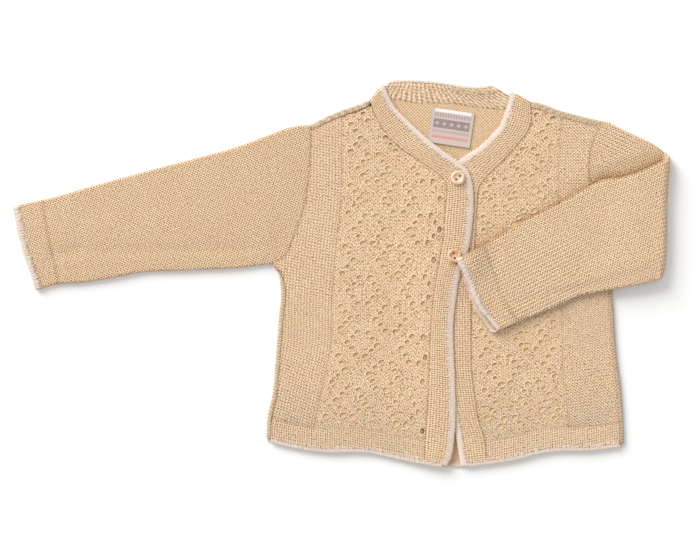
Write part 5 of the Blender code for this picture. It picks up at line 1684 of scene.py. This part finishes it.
def add_neckband_back():
    """The back of the neckband, flat on the floor behind the neck, and its edging."""
    right, left = shoulder_fold("right"), shoulder_fold("left")

    def rows(curve, count):
        """Points of a curve between the two shoulder folds."""
        start = curve.where(right.cleared)
        end = 1.0 - curve.turned_round().where(left.cleared)
        return curve.at(np.linspace(start, end, count))

    seam, top = smooth(BACK_NECK).beside(2 * NEAR), smooth(NECK_TOP)
    knit_edge = top.beside(-EDGE_TRIM / 2 - NEAR)
    ends = rows(seam, NECKBAND_BACK_ROWS), rows(knit_edge, NECKBAND_BACK_ROWS)
    grid, place = strip_grid(*ends, level(RIB_BACK_MID), RIB_WALL, NECKBAND_BACK_COLUMNS, dip=0.4)
    loops = np.cos(2 * math.pi * (place[..., 1] / 3.7 + place[..., 0] / 14.0))
    swell = np.sin(math.pi * np.linspace(0.0, 1.0, NECKBAND_BACK_COLUMNS))[:, None] ** 0.5
    grid[..., 2] += 0.22 * (loops + 1.0) * swell
    band = grid_cloth("neckband_back_cloth", grid, place, RIB_WALL, [FINISHES["band_inside"]])
    settle(band, "neckband_back")
    ends = rows(top.beside(-EDGE_TRIM / 2), NECK_EDGING_ROWS), rows(top, NECK_EDGING_ROWS)
    grid, place = strip_grid(*ends, level(TRIM_WALL / 2), TRIM_WALL, NECK_EDGING_COLUMNS)
    return band, add_edging("edging_neck_back", grid, place, 0.2, 0.2, 21)


def add_hem_edging(lines):
    """The narrow edging below the back, the right front and the left front."""
    hem = lines["hem"]
    first, last = hem.points[0][0], hem.points[-1][0]
    right_band, left_band = (CUT[side]["band_edge"][0][0] for side in CUT)
    turned = EDGE_TRIM + 2 * NEAR
    made = {}
    for name, start, end, height, seed in (
        ("back", first + 1.0, last - 1.0, level(TRIM_WALL / 2), 31),
        ("right", first + SIDE_ROLL + SEAM, right_band - turned, right_mid, 32),
        ("left", left_band + turned, last - SIDE_ROLL - SEAM, left_mid, 33),
    ):
        rows = np.linspace(hem.share_at_x(start), hem.share_at_x(end), int((end - start) / HEM_STEP))
        ends = hem.beside(HEM_TRIM).at(rows), hem.at(rows)
        grid, place = strip_grid(*ends, height, TRIM_WALL, HEM_COLUMNS, crown=0.1)
        made[name] = add_edging("edging_hem_" + name, grid, place, 2.2, 0.4, seed)
    return made


def add_cuff_edging(side, seed):
    """The pale edging round one cuff."""
    steps = ring_steps(CUFF_FLAT_STEPS, CUFF_TURN_STEPS)
    length = smooth(RIGHT_TOP if side == "right" else LEFT_BACK_TOP).length
    shares = np.linspace(1.0 - EDGE_TRIM / length, 1.0, CUFF_RINGS)
    if side == "right":
        grid = right_sleeve_rings(shares, TRIM_WALL, steps)
    else:
        grid = left_sleeve_rings([("back", share) for share in shares], steps)
    place = sleeve_place(grid, CUFF_WALES, CUFF_FLAT_STEPS // 2)
    node = "edging_cuff_" + side
    tape = grid_cloth(node + "_tape", grid, place, TAPE_WALL, [FINISHES["tape"]], tube=True)
    ring = np.concatenate([grid, grid[:1]])
    middle = (ring[:, 0, 2].max() + ring[:, 0, 2].min()) / 2
    upward = np.zeros((len(ring), 3))
    upward[:, 2] = np.sign(ring[:, 0, 2] - middle)
    return [settle(tape, node, slot="trim"), sew_over(node, ring[:, 0], ring[:, -1], upward, 1.8, 0.7, seed)]


def add_eyelet_yarn(side, holes):
    """The yarn that stands up round each eyelet."""
    rings = np.array([ring_about(hole, EYELET_YARN_OUT) for hole in holes])
    rings = np.concatenate([rings, rings[:, :1]], 1)
    x, y = rings[..., 0], rings[..., 1]
    paths = raised(rings, FRONT_MIDDLE[side](x) + bending(x, y) + WALL / 2 + 0.02)
    ups = np.broadcast_to((0.0, 0.0, 1.0), paths.shape)
    return settle(looped_thread(f"eyelet_yarn_{side}", ups, paths, EYELET_YARN_RADIUS, FINISHES["yarn"]))


# The buttons and the label


def button_section():
    """Half of a button's section, as a row of edges."""
    work = bmesh.new()
    rows = smooth(BUTTON_PROFILE, 4).points
    points = [work.verts.new((radius * MM, 0.0, height * MM)) for radius, height in rows]
    for first, second in zip(points, points[1:]):
        work.edges.new((first, second))
    return work


def hole_cutter():
    """A rod as wide as a button's hole, whose faces take the second finish: the hole's walls, painted dark as
    shade.
    """
    work = bmesh.new()
    radius, steps = BUTTON_HOLE_RADIUS * MM, BUTTON_HOLE_STEPS
    bmesh.ops.create_cone(work, cap_ends=True, segments=steps, radius1=radius, radius2=radius, depth=8.0 * MM)
    for face in work.faces:
        face.material_index = 1
    return work


def cut_holes(obj, cutters):
    """Cuts an object's holes for good, and removes what cut them."""
    for cutter in cutters:
        hole = obj.modifiers.new("thread_hole", "BOOLEAN")
        hole.operation, hole.solver, hole.object = "DIFFERENCE", "EXACT", cutter
    bpy.context.view_layer.update()
    obj.data = bpy.data.meshes.new_from_object(obj.evaluated_get(bpy.context.evaluated_depsgraph_get()))
    obj.modifiers.clear()
    for cutter in cutters:
        bpy.data.objects.remove(cutter)


def add_button(name, x, y, hole_angle):
    """A round button, dished on top, with two holes for the thread."""
    finishes = [FINISHES[name], FINISHES["button_hole_shade"]]
    obj = made_from(button_section(), name + "_shell", finishes, (x, y, BUTTON_BASE))
    turned = obj.modifiers.new("turned", "SCREW")
    turned.steps = turned.render_steps = BUTTON_STEPS
    turned.use_merge_vertices = True
    turned.merge_threshold = 0.00001
    angle = math.radians(hole_angle)
    cutters = []
    for step in (-BUTTON_HOLE_STEP / 2, BUTTON_HOLE_STEP / 2):
        middle = (x + step * math.cos(angle), y + step * math.sin(angle), BUTTON_BASE + 1)
        cutters.append(made_from(hole_cutter(), name + "_hole", finishes, middle))
    cut_holes(obj, cutters)
    obj.data.shade_smooth()
    return settle(obj, name, slot="button")


def add_label():
    """The woven label, sewn flat to the inside of the back."""
    across, up = np.linspace(-0.5, 0.5, 40) * LABEL_WIDTH, np.linspace(-0.5, 0.5, 34) * LABEL_LENGTH
    u, v = np.meshgrid(across, up, indexing="ij")
    turn = math.radians(LABEL_TURN)
    x = LABEL_X + u * math.cos(turn) - v * math.sin(turn)
    y = LABEL_Y + u * math.sin(turn) + v * math.cos(turn)
    waves = 0.12 * np.sin(u / 5.5 + 0.6) * np.cos(v / 8.0) + 0.3 * ease(-v, 8.0, 14.0)
    grid = np.stack([x, y, WALL + 0.3 + LABEL_WALL / 2 + waves], -1)
    obj = grid_cloth("neck_label_cloth", grid, np.stack([u, v], -1), LABEL_WALL / 2, [FINISHES["label"]])
    return settle(obj, "neck_label", slot="label")


# The table, the light and the camera


def add_floor():
    """A wide table top just below the cloth."""
    work = bmesh.new()
    bmesh.ops.create_grid(work, x_segments=4, y_segments=4, size=TABLE_SIZE)
    made_from(work, "table_top", [floor_finish()], (0.0, 0.0, -TABLE_DROP))


def add_lights():
    """A wide window behind the wearer's right shoulder, and an even room."""
    light = bpy.data.lights.new("window", "AREA")
    light.shape = "SQUARE"
    light.size = WINDOW_SIZE
    light.energy = WINDOW_POWER
    light.color = WINDOW_COLOR
    window = linked("window", light)
    middle = Vector((VIEW_X * MM, VIEW_Y * MM, 0.0))
    window.location = middle + Vector(WINDOW_TOWARDS).normalized() * WINDOW_AWAY
    window.rotation_mode = "QUATERNION"
    window.rotation_quaternion = (middle - window.location).to_track_quat("-Z", "Y")
    world = bpy.data.worlds.new("soft_room")
    world.use_nodes = True
    sky = world.node_tree.nodes["Background"].inputs
    sky["Color"].default_value = (*WHITE, 1.0)
    sky["Strength"].default_value = ROOM_LIGHT
    bpy.context.scene.world = world
    bpy.context.scene.view_settings.view_transform = "Standard"


def add_camera():
    """A camera straight above the garment, with the neck at the top of its view."""
    data = bpy.data.cameras.new("camera")
    data.lens, data.sensor_width = LENS, SENSOR
    camera = linked("camera", data)
    camera.location = (VIEW_X * MM, VIEW_Y * MM, (VIEW_LEVEL + VIEW_WIDTH * LENS / SENSOR) * MM)
    bpy.context.scene.camera = camera


for left_over in [o for o in bpy.data.objects if o.type in ("CAMERA", "LIGHT") or o.name == "Cube"]:
    bpy.data.objects.remove(left_over)
add_camera()
add_lights()
add_floor()

GROUPS = {"stitches": knit_stitches_group(), "tint": yarn_tint_group()}
FINISHES = {
    "inside": knit_finish(
        "knit_inside", INSIDE_STITCH, 0.6, (0.9, 0.88, 0.85), turn=45.0, depth=0.25, covered=True
    ),
    # painted shade: the back's underside, seen on its rolled edges, is painted greyer and darker, as shade on
    # the rolls
    "plain": knit_finish("knit_plain_shaded", SLEEVE_STITCH, 0.45, (0.73, 0.77, 0.82), depth=0.2),
    "front_right": front_finish("knit_front_right", SIDE_RIGHT_STITCH, (0.98, 0.98, 0.995)),
    "front_left": front_finish("knit_front_left", SIDE_LEFT_STITCH, (1.03, 1.045, 1.07)),
    "sleeve_right": knit_finish("knit_sleeve_right", SLEEVE_STITCH, 0.85, seam=True),
    "sleeve_left": knit_finish(
        "knit_sleeve_left", SLEEVE_STITCH, 0.9, (1.02, 1.04, 1.05), seam=True, ribbed=True
    ),
    "band": knit_finish("knit_band", BAND_STITCH, 0.82),
    "band_inside": knit_finish("knit_band_inside", LOOPED_STITCH, 0.52, (0.92, 0.94, 0.97), turn=90.0),
    "tape": thread_finish("edging_tape", display(236, 214, 197), display(220, 192, 171)),
    "thread": thread_finish("edging_thread", display(248, 233, 221), display(225, 201, 183), pitch=2.3),
    "yarn": thread_finish("eyelet_yarn", display(252, 226, 190), display(220, 182, 138)),
    "button_top": pearl_finish("pearl_beige", display(228, 192, 160), display(246, 218, 190)),
    "button_lower": pearl_finish("pearl_tan", display(214, 162, 120), display(240, 200, 164)),
    # painted shade: the button's hole walls are painted dark brown
    "button_hole_shade": pearl_finish("pearl_hole_shade", display(72, 46, 32), display(98, 66, 46)),
    "label": label_finish(),
}

lines = outline()
back = add_back(lines)
fronts, bands, edgings, yarns = {}, {}, {}, {}
for side, seed in (("right", 12), ("left", 11)):
    fronts[side], holes = add_front(lines, side)
    yarns[side] = add_eyelet_yarn(side, holes)
    bands[side], edgings[side] = add_bands(lines, side, seed)
neckband_back, neck_edging = add_neckband_back()
hem_edging = add_hem_edging(lines)
sleeve_right, sleeve_left = add_sleeve_right(), add_sleeve_left()
cuff_right, cuff_left = add_cuff_edging("right", 42), add_cuff_edging("left", 41)
for row in BUTTONS:
    add_button(*row)
label = add_label()

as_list(hem_edging["back"])
for side, band_size, neck_size in (
    ("right", (0.0168, 0.221), (0.0135, 0.117)),
    ("left", (0.0175, 0.2205), (0.0150, 0.117)),
):
    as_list(edgings[side])
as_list(neck_edging)
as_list(cuff_right)
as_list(cuff_left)
